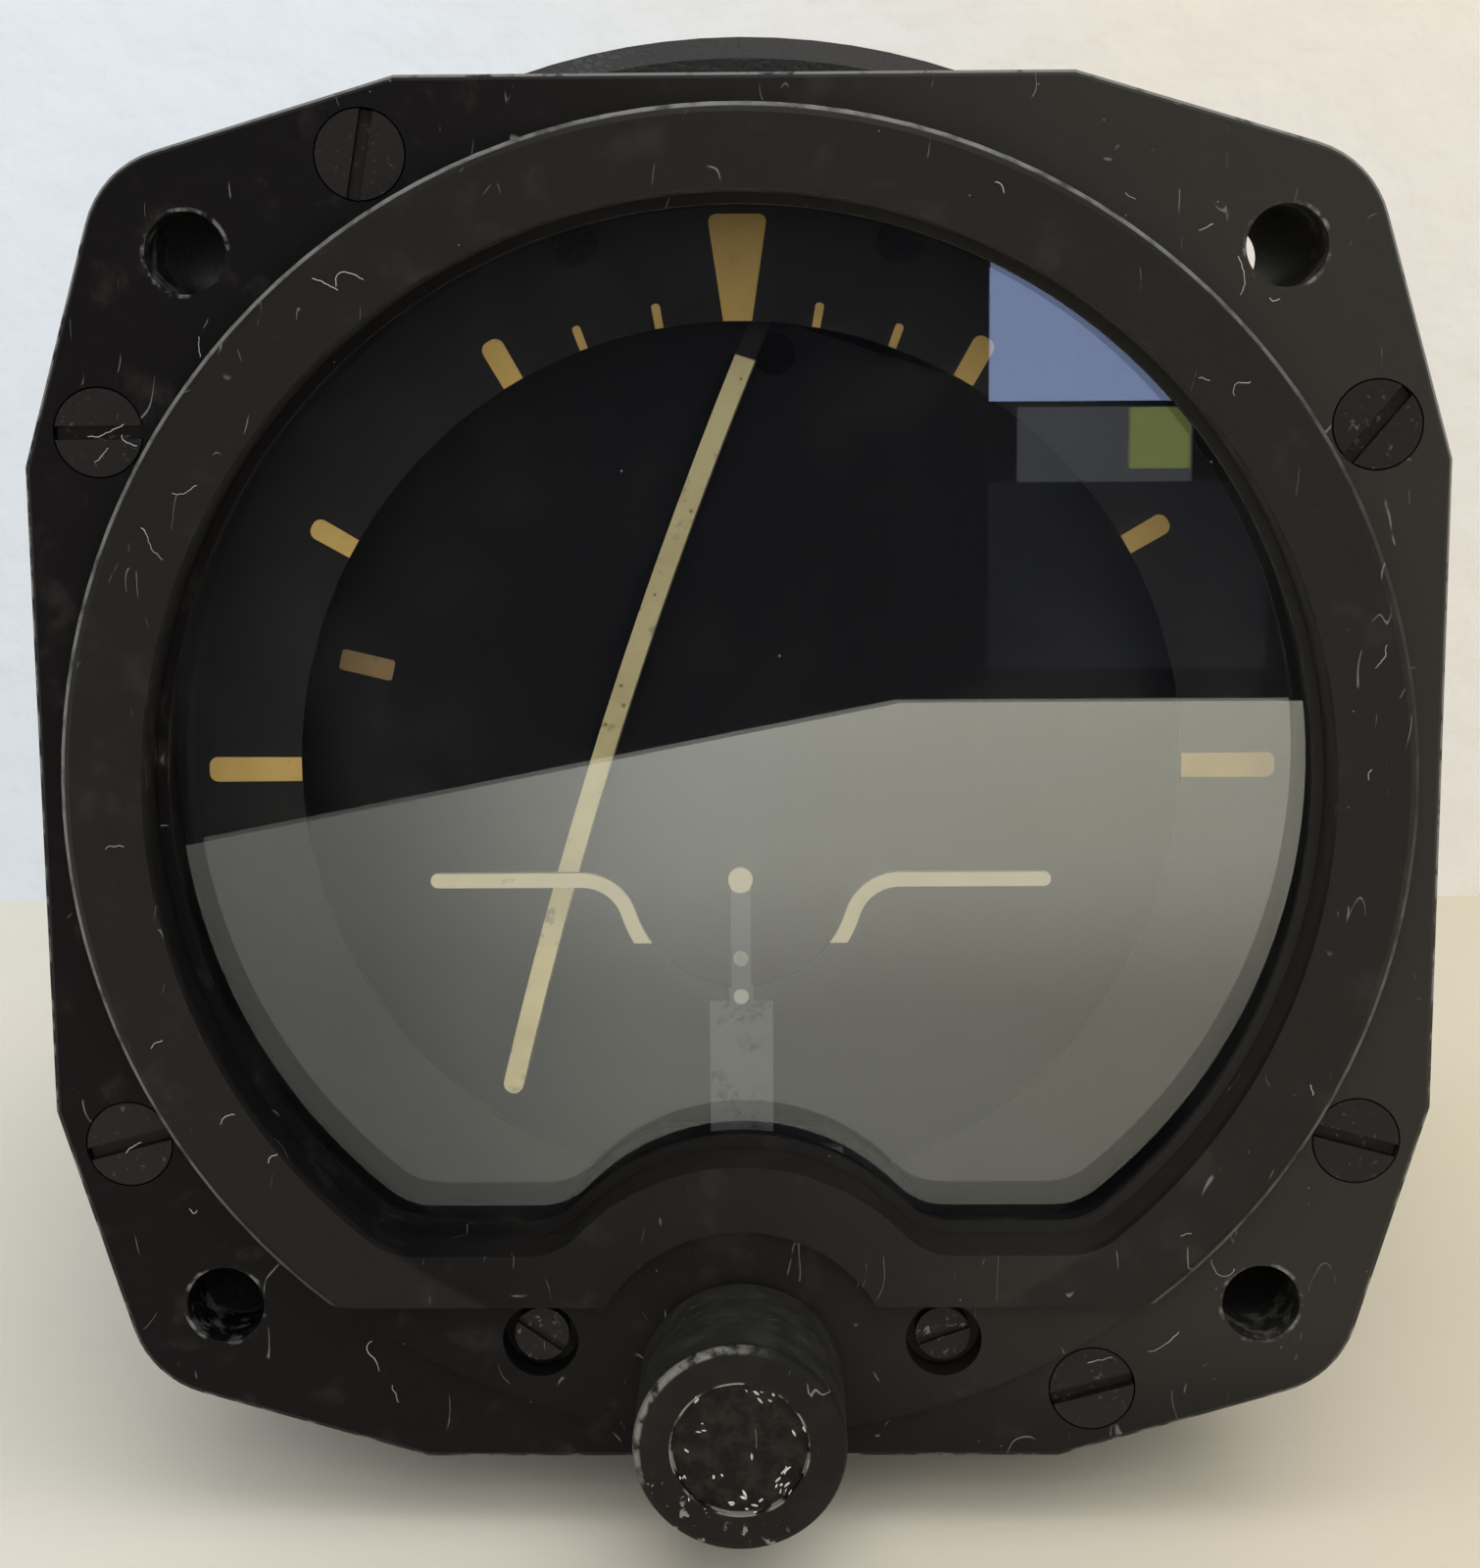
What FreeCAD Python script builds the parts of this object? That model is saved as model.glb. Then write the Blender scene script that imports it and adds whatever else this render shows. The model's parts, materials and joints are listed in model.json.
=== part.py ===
"""Electric gyro horizon in a 3-1/8 inch panel case, built as a parametric FreeCAD document.

Frame: X to the right, Y back into the case, Z up; the origin is the centre of the flange's
front face, which lies against the back of the panel. Millimetres and degrees.
"""
import FreeCAD, Part
import Sketcher
import math
import os

V = FreeCAD.Vector
Rotation = FreeCAD.Rotation
Placement = FreeCAD.Placement

doc = FreeCAD.newDocument("attitude_indicator")
sheet = doc.addObject("Spreadsheet::Sheet", "sizes")
sheet.Label = "driving dimensions"
pieces = []


# ---------------------------------------------------------------- sizes and formulas

class Size:
    """A value together with the sheet formula that gives it, so the two never part."""

    def __init__(self, value, formula):
        self.value = float(value)
        self.formula = formula

    def _with(self, other, sign, value, swap=False):
        a, b = (other.formula, self.formula) if swap else (self.formula, other.formula)
        return Size(value, f"({a} {sign} {b})")

    def __add__(self, other):
        other = as_size(other)
        return self._with(other, "+", self.value + other.value)

    def __radd__(self, other):
        return as_size(other) + self

    def __sub__(self, other):
        other = as_size(other)
        return self._with(other, "-", self.value - other.value)

    def __rsub__(self, other):
        return as_size(other) - self

    def __mul__(self, other):
        other = as_size(other)
        return self._with(other, "*", self.value * other.value)

    def __rmul__(self, other):
        return as_size(other) * self

    def __truediv__(self, other):
        other = as_size(other)
        return self._with(other, "/", self.value / other.value)

    def __rtruediv__(self, other):
        return as_size(other) / self

    def __neg__(self):
        return as_size(0) - self

    def __float__(self):
        return self.value


def as_size(number):
    """Return a Size as it is, and wrap a plain number."""
    if isinstance(number, Size):
        return number
    return Size(number, repr(float(number)))


def root(size):
    """Square root of a Size."""
    return Size(math.sqrt(size.value), f"sqrt({size.formula})")


def leg(slant, side):
    """Other leg of a right triangle, from its slant and one side."""
    return root(slant * slant - side * side)


def sine(angle):
    """Sine of a Size in degrees."""
    return Size(math.sin(math.radians(angle.value)), f"sin({angle.formula})")


def cosine(angle):
    """Cosine of a Size in degrees."""
    return Size(math.cos(math.radians(angle.value)), f"cos({angle.formula})")


class Driving:
    """Driving dimensions, in millimetres and degrees; each has its own cell in the sheet."""

    # Flange and bezel
    flange_margin = 3.84  # flats of the square flange beyond its corner lobes
    flat_half = 19.3  # half length of each flat
    hole_pitch = 62.87  # mounting hole square
    lobe_radius = 6.0  # corner lobe about each mounting hole
    hole_radius = 2.35  # mounting hole
    bezel_thickness = 5.0  # bezel flange
    ring_radius = 39.5  # raised ring that enters the panel cut-out
    ring_height = 2.4  # ring face in front of the flange
    ring_bevel = 0.6  # bevel on the ring's outer edge
    flange_bevel = 0.35  # bevel on the flange's front edge
    window_radius = 34.1  # window lip
    window_flat = 27.0  # window's flat bottom below the centre
    window_corner = 3.6  # rounded corners of the window
    hump_radius = 14.0  # hump over the knob, about the knob's axis
    lip_step = 0.6  # window wall outside the lip
    lip_depth = 1.9  # front of the lip behind the flange face
    lip_thickness = 0.6  # window lip
    seat_step = 2.5  # glass seat outside the lip
    knob_drop = 35.5  # knob's axis below the centre
    crest_radius = 9.4  # recess round the knob in the hump
    platform_drop = 30.8  # top edge of the knob platform below the centre
    platform_height = 0.8  # knob platform in front of the flange

    # Bezel and bracket screws
    screw_circle = 42.57  # radius of the bezel screws' circle
    screw_head_radius = 2.55  # bezel screw head
    screw_head_height = 1.6  # bezel screw head
    screw_radius = 1.4  # bezel screw shank
    slot_width = 0.8  # slot of a bezel screw
    slot_depth = 0.7  # slot of a bezel screw
    bracket_screw_across = 12.2  # bracket screws left and right of the knob
    bracket_screw_drop = 33.4  # bracket screws below the centre
    bracket_head_radius = 1.65  # bracket screw head
    bracket_head_height = 1.2  # bracket screw head
    bracket_head_depth = 1.4  # seat of a bracket screw head behind the flange face
    bracket_screw_radius = 1.1  # bracket screw shank
    counterbore_radius = 2.3  # counterbore of a bracket screw
    small_slot_width = 0.45  # slot of a bracket screw or mask screw
    small_slot_depth = 0.4  # slot of a bracket screw or mask screw

    # Clearances
    fit = 0.05  # radial clearance of a turning shaft in its bore
    slip = 0.1  # clearance of a piece that is only set in place
    gap = 0.3  # clearance of moving pieces and of pieces set in a housing

    # Glass and dial stack
    glass_thickness = 2.4  # window glass
    gasket_thickness = 0.6  # rubber behind the glass
    mask_depth = 10.1  # front of the bank scale mask behind the flange face
    mask_thickness = 0.8  # mask
    mask_radius = 27.5  # opening of the mask
    carrier_radius = 30.5  # opening of the ring behind the mask
    carrier_thickness = 1.6  # ring behind the mask
    mask_screw_circle = 33.7  # radius of the mask screws
    mask_screw_angle = 17.0  # mask screws each side of the top
    mask_screw_radius = 0.8  # mask screw shank
    mask_head_radius = 1.4  # mask screw head
    mask_head_height = 0.7  # mask screw head

    # Case
    seal_thickness = 0.3  # sealant between bezel and case
    case_flange = 4.0  # case flange
    neck_radius = 40.0  # neck of the case behind the flange
    neck_bore = 37.6  # bore that holds the dial stack
    throat_radius = 35.8  # bore behind the dial stack
    boss_radius = 5.5  # corner boss round each mounting hole
    barrel_front = 24.0  # front of the barrel behind the flange face
    barrel_radius = 46.0  # barrel
    barrel_room = 2.0  # barrel beyond the bulkhead's hub
    barrel_bevel = 1.5  # bevel on the barrel's front edge
    wall = 2.5  # barrel wall
    flute_radius = 6.5  # flute behind each mounting hole
    post_radius = 3.5  # inner posts for the cover and bulkhead screws
    cover_post_inset = 5.2  # cover screws inside the barrel's surface
    cover_post_length = 10.0  # posts of the cover screws
    bulkhead_post_inset = 5.8  # bulkhead screws inside the barrel's surface
    bulkhead_post_length = 11.0  # posts of the bulkhead screws
    bulkhead_post_angle = 20.0  # bulkhead screws from each axis
    rear_screw_radius = 1.5  # cover and bulkhead screw shank
    rear_head_radius = 2.8  # cover and bulkhead screw head
    rear_head_height = 1.8  # cover and bulkhead screw head

    # Rear
    bulkhead_room = 10.0  # rear bulkhead behind the gimbal frame
    bulkhead_thickness = 3.0  # rear bulkhead
    hub_radius = 11.0  # bearing hub of the bulkhead
    hub_length = 13.0  # bearing hub of the bulkhead
    cover_gasket = 0.5  # rubber under the rear cover
    cover_thickness = 3.0  # rear cover
    spigot_room = 2.3  # spigot of the rear cover inside the cover posts
    spigot_length = 3.0  # spigot of the rear cover
    spigot_wall = 2.0  # spigot of the rear cover
    connector_drop = 20.0  # connector below the centre
    connector_flange = 30.2  # side of the connector's square flange
    connector_flange_thickness = 2.6  # connector flange
    connector_pitch = 23.01  # connector screw square
    connector_radius = 11.1  # connector barrel
    connector_length = 15.6  # connector barrel behind its flange
    connector_wall = 1.7  # connector barrel wall
    insert_rise = 5.0  # front of the insert above the connector flange
    pin_radius = 0.8  # connector pin
    pin_length = 6.0  # connector pin above the insert
    pin_circle = 4.8  # circle of the connector pins

    # Knob and aircraft adjuster
    knob_radius = 6.1  # knob
    knob_shadow = 0.5  # raised pad beyond the knob, down to the flange edge
    knob_back = 1.7  # back of the knob in front of the flange face
    knob_length = 10.8  # knob
    knob_edge = 0.45  # rounding of the knob's front edge
    knob_recess_radius = 3.9  # shallow recess in the knob's face
    knob_recess_depth = 0.35  # shallow recess in the knob's face
    knob_bore_depth = 7.5  # bore in the back of the knob
    shaft_radius = 1.5  # knob shaft
    bushing_radius = 3.0  # bushing of the knob shaft
    bushing_flange = 3.9  # rear flange of the bushing
    bushing_room = 0.6  # case well round the bushing flange and pinion
    gear_module = 0.4  # module of the adjuster's gears and rack
    pinion_teeth = 11  # teeth of the knob's pinion
    idler_teeth = 23  # teeth of the idler
    idler_pin_radius = 0.8  # idler pin
    plate_front = 6.0  # front of the aircraft slide behind the flange face
    plate_thickness = 0.8  # aircraft slide
    gear_front = 7.1  # front of the adjuster's gears
    gear_thickness = 1.4  # adjuster's gears
    bracket_front = 8.9  # front of the adjuster bracket
    bracket_thickness = 1.0  # adjuster bracket
    bracket_radius = 13.6  # adjuster bracket about the knob's axis
    rise = 10.0  # travel of the aircraft above its rest place
    rack_back = 6.3  # outer edge of the rack from the centre

    # Aircraft symbol
    symbol_drop = 6.3  # centre dot below the centre at rest
    symbol_thickness = 0.5  # aircraft symbol
    wing_span_half = 19.0  # wing tip from the centre
    wing_width = 0.9  # width of the symbol's strips
    wing_bend = 3.0  # bend between wing and hoop
    hoop_radius = 7.2  # hoop under the centre dot
    dot_radius = 0.75  # centre dot
    stem_half = 0.6  # half width of the stem
    post_half = 1.95  # half width of the wide post
    post_top = 14.0  # top of the wide post below the centre at rest
    stem_rivet_upper = 11.2  # upper rivet below the centre at rest
    stem_rivet_lower = 13.6  # lower rivet below the centre at rest
    rivet_radius = 0.35  # rivet

    # Roll gimbal and dial
    roll_rest = 72.0  # roll at rest, seen from the front, to the left
    pitch_rest = 30.0  # pitch of the gyro at rest
    bar_rest = 6.0  # angle of the bar's arm at rest
    disc_front = 16.2  # front of the background disc
    disc_radius = 30.5  # background disc
    disc_thickness = 1.0  # background disc
    disc_flat = 27.0  # flat side of the disc where the bar's arm passes
    disc_hub_radius = 5.0  # hub behind the disc
    frame_front = 23.5  # front of the gimbal frame
    frame_bar = 4.0  # thickness of the gimbal frame
    frame_half_height = 7.0  # half height of the gimbal frame
    frame_front_half = 22.0  # half width of the frame's front
    frame_pad_room = 1.5  # frame beside the gyro's pads
    frame_shoulder = 36.0  # where the frame reaches its full width
    frame_room = 9.0  # frame's rear behind the gyro housing
    frame_taper = 20.0  # half width of the frame's rear
    pitch_axis = 58.0  # pitch axis behind the flange face
    pitch_boss_radius = 13.0  # boss round each pitch bearing
    bearing_outer = 4.0  # small ball bearing outside
    pivot_radius = 2.0  # pitch pivots and rotor shaft
    small_bearing_width = 3.0  # small ball bearing
    roll_shaft_radius = 4.0  # roll shaft
    roll_bearing_outer = 8.0  # roll bearing outside
    roll_bearing_width = 5.0  # roll bearing
    roll_collar_radius = 6.0  # gimbal's rear collar
    roll_shaft_inset = 0.5  # rear end of the roll shaft inside the hub
    slip_radius = 7.0  # slip ring block
    slip_length = 5.6  # slip ring block

    # Horizon bar
    bar_pivot_inset = 7.0  # pivot of the bar's arm in front of the gimbal frame's rear
    bar_room = 2.6  # bar in front of the disc
    bar_width = 1.3  # horizon bar across its painted face
    bar_thickness = 0.8  # horizon bar
    bar_left = 25.6  # free end of the bar from the centre
    bar_right = 22.0  # where the bar's bow ends on the other side
    bar_bow = 0.9  # bow of the bar across the dial
    arm_disc_room = 1.0  # arm beside the disc's flat
    arm_frame_room = 1.5  # arm beside the frame
    arm_thickness = 1.2  # arm
    arm_half_height = 2.2  # half height of the arm
    arm_bend_front = 27.5  # where the arm bends outwards
    arm_bend_back = 32.0  # where the arm has bent outwards
    arm_tail = 9.0  # arm behind its pivot
    weight_radius = 3.0  # bar counterweight
    weight_length = 2.6  # bar counterweight
    guide_radius = 7.8  # guide pin from the pitch axis
    guide_pin_radius = 0.8  # guide pin
    guide_play = 0.45  # clearance of the guide pin in the arm's slot
    pitch_limit = 60.0  # pitch each way
    pivot_screw_radius = 1.5  # pivot screw of the arm
    pivot_head_radius = 2.6  # pivot screw of the arm

    # Gyro
    housing_radius = 22.0  # gyro housing
    housing_half = 19.0  # half height of the gyro housing
    housing_wall = 1.6  # gyro housing wall
    housing_split = 7.0  # joint of the housing above the pitch axis
    rotor_room = 1.8  # rotor inside the housing's wall
    rotor_half = 8.5  # half height of the rotor's rim
    rotor_rim = 5.6  # thickness of the rotor's rim
    rotor_web = 3.0  # web of the rotor
    rotor_hub = 4.2  # hub of the rotor
    stator_clearance = 0.8  # stator inside the rotor's rim
    bearing_boss = 5.6  # boss round each spin bearing
    pad_height = 1.5  # face of the side pads beyond the housing
    pad_half_width = 11.0  # half width of a side pad
    pad_half_height = 6.0  # half height of a side pad
    ear_reach = 2.0  # screw ears beyond the housing
    ear_radius = 2.6  # screw ear of the housing
    cap_screw_radius = 1.0  # cap screw


class Sheet:
    """Cells of the driving sheet; each attribute is a Size bound to its own cell."""

    def __init__(self, dimensions):
        for row, (alias, value) in enumerate(dimensions.items(), start=1):
            sheet.set(f"A{row}", alias.replace("_", " "))
            sheet.set(f"B{row}", repr(value))
            sheet.setAlias(f"B{row}", alias)
            setattr(self, alias, Size(value, f"sizes.{alias}"))


S = Sheet({alias: value for alias, value in vars(Driving).items() if not alias.startswith("_")})

hole_at = S.hole_pitch / 2
flange_half = hole_at + S.lobe_radius + S.flange_margin
rotor_radius = S.housing_radius - S.housing_wall - S.rotor_room
pad_front = S.housing_radius + S.pad_height
ear_circle = S.housing_radius + S.ear_reach
frame_half_width = pad_front + S.frame_pad_room + S.frame_bar
frame_end = S.pitch_axis + S.housing_radius + S.frame_room + S.frame_bar
arm_inner = S.disc_flat + S.arm_disc_room
arm_outer = frame_half_width + S.arm_frame_room
bar_pivot = frame_end - S.bar_pivot_inset
bar_reach = bar_pivot - S.disc_front + S.bar_room
bulkhead_front = frame_end + S.bulkhead_room
hub_back = bulkhead_front + S.hub_length
roll_shaft_end = hub_back - S.roll_shaft_inset
barrel_end = hub_back + S.barrel_room
cover_post_circle = S.barrel_radius - S.cover_post_inset
bulkhead_post_circle = S.barrel_radius - S.bulkhead_post_inset
spigot_radius = cover_post_circle - S.post_radius - S.spigot_room
glass_front = S.lip_depth + S.lip_thickness
glass_back = glass_front + S.glass_thickness
gasket_back = glass_back + S.gasket_thickness
case_front = S.bezel_thickness + S.seal_thickness
mask_back = S.mask_depth + S.mask_thickness
ledge = mask_back + S.carrier_thickness
throat_end = S.barrel_front + S.wall + 0.5
bore_radius = S.barrel_radius - S.wall
cover_front = barrel_end + S.cover_gasket
cover_back = cover_front + S.cover_thickness
inner_flute = S.flute_radius + S.wall


# ---------------------------------------------------------------- modelling helpers

def bind(thing, name, size):
    """Set a property and, where its size comes from the sheet, bind it there."""
    size = as_size(size)
    if "sizes." in size.formula:
        thing.setExpression(name, size.formula)
    else:
        setattr(thing, name, size.value)


def new_body(label):
    """Start a piece as a PartDesign body."""
    body = doc.addObject("PartDesign::Body", label)
    body.Label = label
    return body


def new_sketch(body, role, offset=0.0):
    """Attach a sketch to one of the body's own origin planes, shifted along its normal."""
    plane = [item for item in body.Origin.OriginFeatures if item.Role == role][0]
    sketch = body.newObject("Sketcher::SketchObject", f"{body.Name}_sketch")
    sketch.AttachmentSupport = (plane, [""])
    sketch.MapMode = "FlatFace"
    offset = as_size(offset)
    if "sizes." in offset.formula:
        sketch.setExpression("AttachmentOffset.Base.z", offset.formula)
    elif offset.value:
        sketch.AttachmentOffset = Placement(V(0, 0, offset.value), Rotation())
    return sketch


def hold(sketch, kind, geometry, point, size):
    """Hold one coordinate of a sketch point at a signed distance from the origin."""
    size = as_size(size)
    if abs(size.value) < 1e-9 and "sizes." not in size.formula:
        axis = -2 if kind == "DistanceX" else -1
        sketch.addConstraint(constraint("PointOnObject", geometry, point, axis))
        return
    index = sketch.addConstraint(constraint(kind, -1, 1, geometry, point, size.value))
    if "sizes." in size.formula:
        sketch.setExpression(f"Constraints[{index}]", size.formula)


def constraint(*terms):
    """Make one sketch constraint."""
    return Sketcher.Constraint(*terms)


def measure(sketch, kind, geometry, size):
    """Hold a radius or a length at a size."""
    size = as_size(size)
    index = sketch.addConstraint(constraint(kind, geometry, size.value))
    if "sizes." in size.formula:
        sketch.setExpression(f"Constraints[{index}]", size.formula)


def polygon(sketch, points):
    """Draw a closed outline of straight edges, each corner held by its two coordinates."""
    corners = [(as_size(x), as_size(y)) for x, y in points]
    count = len(corners)
    lines = []
    for (x0, y0), (x1, y1) in zip(corners, corners[1:] + corners[:1]):
        segment = Part.LineSegment(V(x0.value, y0.value, 0), V(x1.value, y1.value, 0))
        lines.append(sketch.addGeometry(segment, False))
    for index in range(count):
        following = lines[(index + 1) % count]
        sketch.addConstraint(constraint("Coincident", lines[index], 2, following, 1))
    for line, (x, y) in zip(lines, corners):
        hold(sketch, "DistanceX", line, 1, x)
        hold(sketch, "DistanceY", line, 1, y)


def circle(sketch, x, y, radius):
    """Draw a circle held by its centre and radius."""
    x, y, radius = as_size(x), as_size(y), as_size(radius)
    round_edge = Part.Circle(V(x.value, y.value, 0), V(0, 0, 1), radius.value)
    geometry = sketch.addGeometry(round_edge, False)
    hold(sketch, "DistanceX", geometry, 3, x)
    hold(sketch, "DistanceY", geometry, 3, y)
    measure(sketch, "Radius", geometry, radius)


def feature(body, kind, sketch, **settings):
    """Add a sketch-based feature to a body and make it the tip."""
    item = body.newObject(f"PartDesign::{kind}", f"{body.Name}_{kind}")
    item.Profile = sketch
    for name, value in settings.items():
        if isinstance(value, Size):
            bind(item, name, value)
        else:
            setattr(item, name, value)
    sketch.Visibility = False
    body.Tip = item
    return item


def pad_back(body, sketch, length):
    """Pad an XZ sketch backwards, along +Y."""
    return feature(body, "Pad", sketch, Length=as_size(length), Reversed=True)


def pocket_back(body, sketch, length):
    """Cut an XZ sketch backwards, along +Y."""
    return feature(body, "Pocket", sketch, Length=as_size(length), Reversed=False)


def turn(body, sketch, kind="Revolution"):
    """Revolve a sketch once round its vertical axis."""
    return feature(body, kind, sketch, ReferenceAxis=(sketch, ["V_Axis"]), Angle=360.0)


def turned(label, points, role="XY_Plane"):
    """Make a whole piece by revolving one outline round its plane's vertical axis."""
    body = new_body(label)
    sketch = new_sketch(body, role)
    polygon(sketch, points)
    turn(body, sketch)
    return body


def place(thing, x=0.0, y=0.0, z=0.0, turn_about=None, angle=0.0):
    """Place a primitive with its coordinates bound to the sheet."""
    base = [as_size(x), as_size(y), as_size(z)]
    rotation = Rotation(turn_about, angle) if turn_about else Rotation()
    thing.Placement = Placement(V(*[item.value for item in base]), rotation)
    for name, item in zip("xyz", base):
        if "sizes." in item.formula:
            thing.setExpression(f"Placement.Base.{name}", item.formula)


def rod(radius, start, end, x=0.0, z=0.0, axis="y"):
    """Cylinder between two places along one axis; x and z are its cross coordinates."""
    item = doc.addObject("Part::Cylinder", "rod")
    start, end = as_size(start), as_size(end)
    bind(item, "Radius", radius)
    bind(item, "Height", end - start)
    if axis == "y":
        place(item, x, start, z, V(1, 0, 0), -90)
    elif axis == "x":
        place(item, start, x, z, V(0, 1, 0), 90)
    else:
        place(item, x, z, start)
    return item


def block(x0, x1, y0, y1, z0, z1):
    """Box between two corners."""
    item = doc.addObject("Part::Box", "block")
    x0, y0, z0 = as_size(x0), as_size(y0), as_size(z0)
    bind(item, "Length", x1 - x0)
    bind(item, "Width", y1 - y0)
    bind(item, "Height", z1 - z0)
    place(item, x0, y0, z0)
    return item


def join(items, label="join"):
    """Fuse several shapes into one."""
    item = doc.addObject("Part::MultiFuse", label)
    item.Shapes = items
    item.Label = label
    return item


def cut(base, tools, label="cut"):
    """Cut one or several shapes from a base."""
    item = doc.addObject("Part::Cut", label)
    item.Base = base
    item.Tool = tools[0] if len(tools) == 1 else join(tools)
    item.Label = label
    return item


def overlap(items, label="overlap"):
    """Keep what several shapes share."""
    item = doc.addObject("Part::MultiCommon", label)
    item.Shapes = items
    item.Label = label
    return item


def solid_group(label, shapes):
    """Make one piece from ready shapes, such as a set of like screws."""
    item = doc.addObject("Part::Feature", label)
    item.Label = label
    item.Shape = shapes[0] if len(shapes) == 1 else Part.makeCompound(shapes)
    return item


def keep(item, frame=None):
    """Register a finished piece and set it in the frame that it moves with."""
    if frame is not None:
        item.Placement = frame.multiply(item.Placement)
    pieces.append(item)
    return item


def corner_signs():
    """The four corners of a square, anticlockwise from the upper right."""
    return [(1, 1), (-1, 1), (-1, -1), (1, -1)]


def slotted_screw(head_radius, head_height, radius, length, slot_width, slot_depth):
    """Cheese-head screw along +Y, its head's face at y = 0 and its slot along X."""
    head_radius, head_height = float(head_radius), float(head_height)
    radius, length = float(radius), float(length)
    width, depth = float(slot_width), float(slot_depth)
    back = V(0, 1, 0)
    head = Part.makeCylinder(head_radius, head_height, V(0, 0, 0), back)
    shank = Part.makeCylinder(radius, length, V(0, 0, 0), back)
    slot = Part.makeBox(2 * head_radius + 1, 2 * depth, width, V(-head_radius - 0.5, -depth, -width / 2))
    return head.fuse(shank).cut(slot).removeSplitter()


def set_screw(shape, x, y, z, slot_angle=0.0, facing_back=False):
    """Copy a screw to its hole, with its slot at an angle seen from the front."""
    copy = shape.copy()
    spin = Rotation(V(0, 1, 0), -slot_angle)
    if facing_back:
        spin = spin.multiply(Rotation(V(1, 0, 0), 180))
    copy.Placement = Placement(V(float(x), float(y), float(z)), spin)
    return copy


# ---------------------------------------------------------------- frames of the moving pieces

roll_frame = Placement(V(0, 0, 0), Rotation(V(0, 1, 0), -S.roll_rest.value))
gyro_frame = roll_frame.multiply(
    Placement(V(0, S.pitch_axis.value, 0), Rotation(V(1, 0, 0), -S.pitch_rest.value)))
bar_frame = roll_frame.multiply(
    Placement(V(0, bar_pivot.value, 0), Rotation(V(1, 0, 0), -S.bar_rest.value)))
knob_frame = Placement(V(0, 0, -S.knob_drop.value), Rotation())
pinion_pitch = S.gear_module * S.pinion_teeth / 2
idler_pitch = S.gear_module * S.idler_teeth / 2
idler_height = pinion_pitch + idler_pitch - S.knob_drop
idler_frame = Placement(V(0, 0, idler_height.value), Rotation())


# ---------------------------------------------------------------- shared outlines

def end_near(sketch, geometry, point):
    """Which end of an edge, 1 or 2, lies at a point."""
    first = sketch.getPoint(geometry, 1).distanceToPoint(point)
    second = sketch.getPoint(geometry, 2).distanceToPoint(point)
    return 1 if first < second else 2


def chain(sketch, shapes, joints, smooth):
    """Draw a closed chain of edges; joint i, smooth or sharp, is where edge i meets the next."""
    edges = [sketch.addGeometry(shape, False) for shape in shapes]
    for index, (point, tangent) in enumerate(zip(joints, smooth)):
        first = edges[index]
        second = edges[(index + 1) % len(edges)]
        kind = "Tangent" if tangent else "Coincident"
        ends = (first, end_near(sketch, first, point), second, end_near(sketch, second, point))
        sketch.addConstraint(constraint(kind, *ends))
    return edges


def short_arc(centre, start, end):
    """Arc of less than half a turn about a centre."""
    halfway = ((start - centre).normalize() + (end - centre).normalize()).normalize()
    return Part.Arc(start, centre + halfway * (start - centre).Length, end)


def flange_outline(sketch, spread=0.0):
    """Lobed square: four flats, slanted shoulders and a round lobe about each mounting hole."""
    half = flange_half + spread
    flat = S.flat_half
    lobe = S.lobe_radius + spread
    centre = V(hole_at.value, hole_at.value, 0)
    away = centre - V(flat.value, half.value, 0)
    tilt = math.atan2(away.y, away.x) + math.asin(lobe.value / away.Length)
    upper = centre + V(-math.sin(tilt), math.cos(tilt), 0) * lobe.value
    side = V(upper.y, upper.x, 0)
    shapes, joints = [], []
    for quarter in range(4):
        spin = Rotation(V(0, 0, 1), -90 * quarter)
        local = [V(-flat.value, half.value, 0), V(flat.value, half.value, 0), upper, side,
                 V(half.value, flat.value, 0), centre]
        left, right, enter, leave, down, middle = [spin.multVec(point) for point in local]
        shapes += [Part.LineSegment(left, right), Part.LineSegment(right, enter)]
        shapes += [short_arc(middle, enter, leave), Part.LineSegment(leave, down)]
        joints += [right, enter, leave, down]
    edges = chain(sketch, shapes, joints, [False, True, True, False] * 4)
    signs = [((-1, 0), (0, 1)), ((0, 1), (1, 0)), ((1, 0), (0, -1)), ((0, -1), (-1, 0))]
    for quarter, (along, out) in enumerate(signs):
        line = edges[4 * quarter]
        lobe_arc = edges[4 * quarter + 2]
        for point, side_sign in ((1, 1), (2, -1)):
            hold(sketch, "DistanceX", line, point, flat * (along[0] * side_sign) + half * out[0])
            hold(sketch, "DistanceY", line, point, flat * (along[1] * side_sign) + half * out[1])
        corner = [(1, 1), (1, -1), (-1, -1), (-1, 1)][quarter]
        hold(sketch, "DistanceX", lobe_arc, 3, hole_at * corner[0])
        hold(sketch, "DistanceY", lobe_arc, 3, hole_at * corner[1])
        measure(sketch, "Radius", lobe_arc, lobe)


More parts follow.
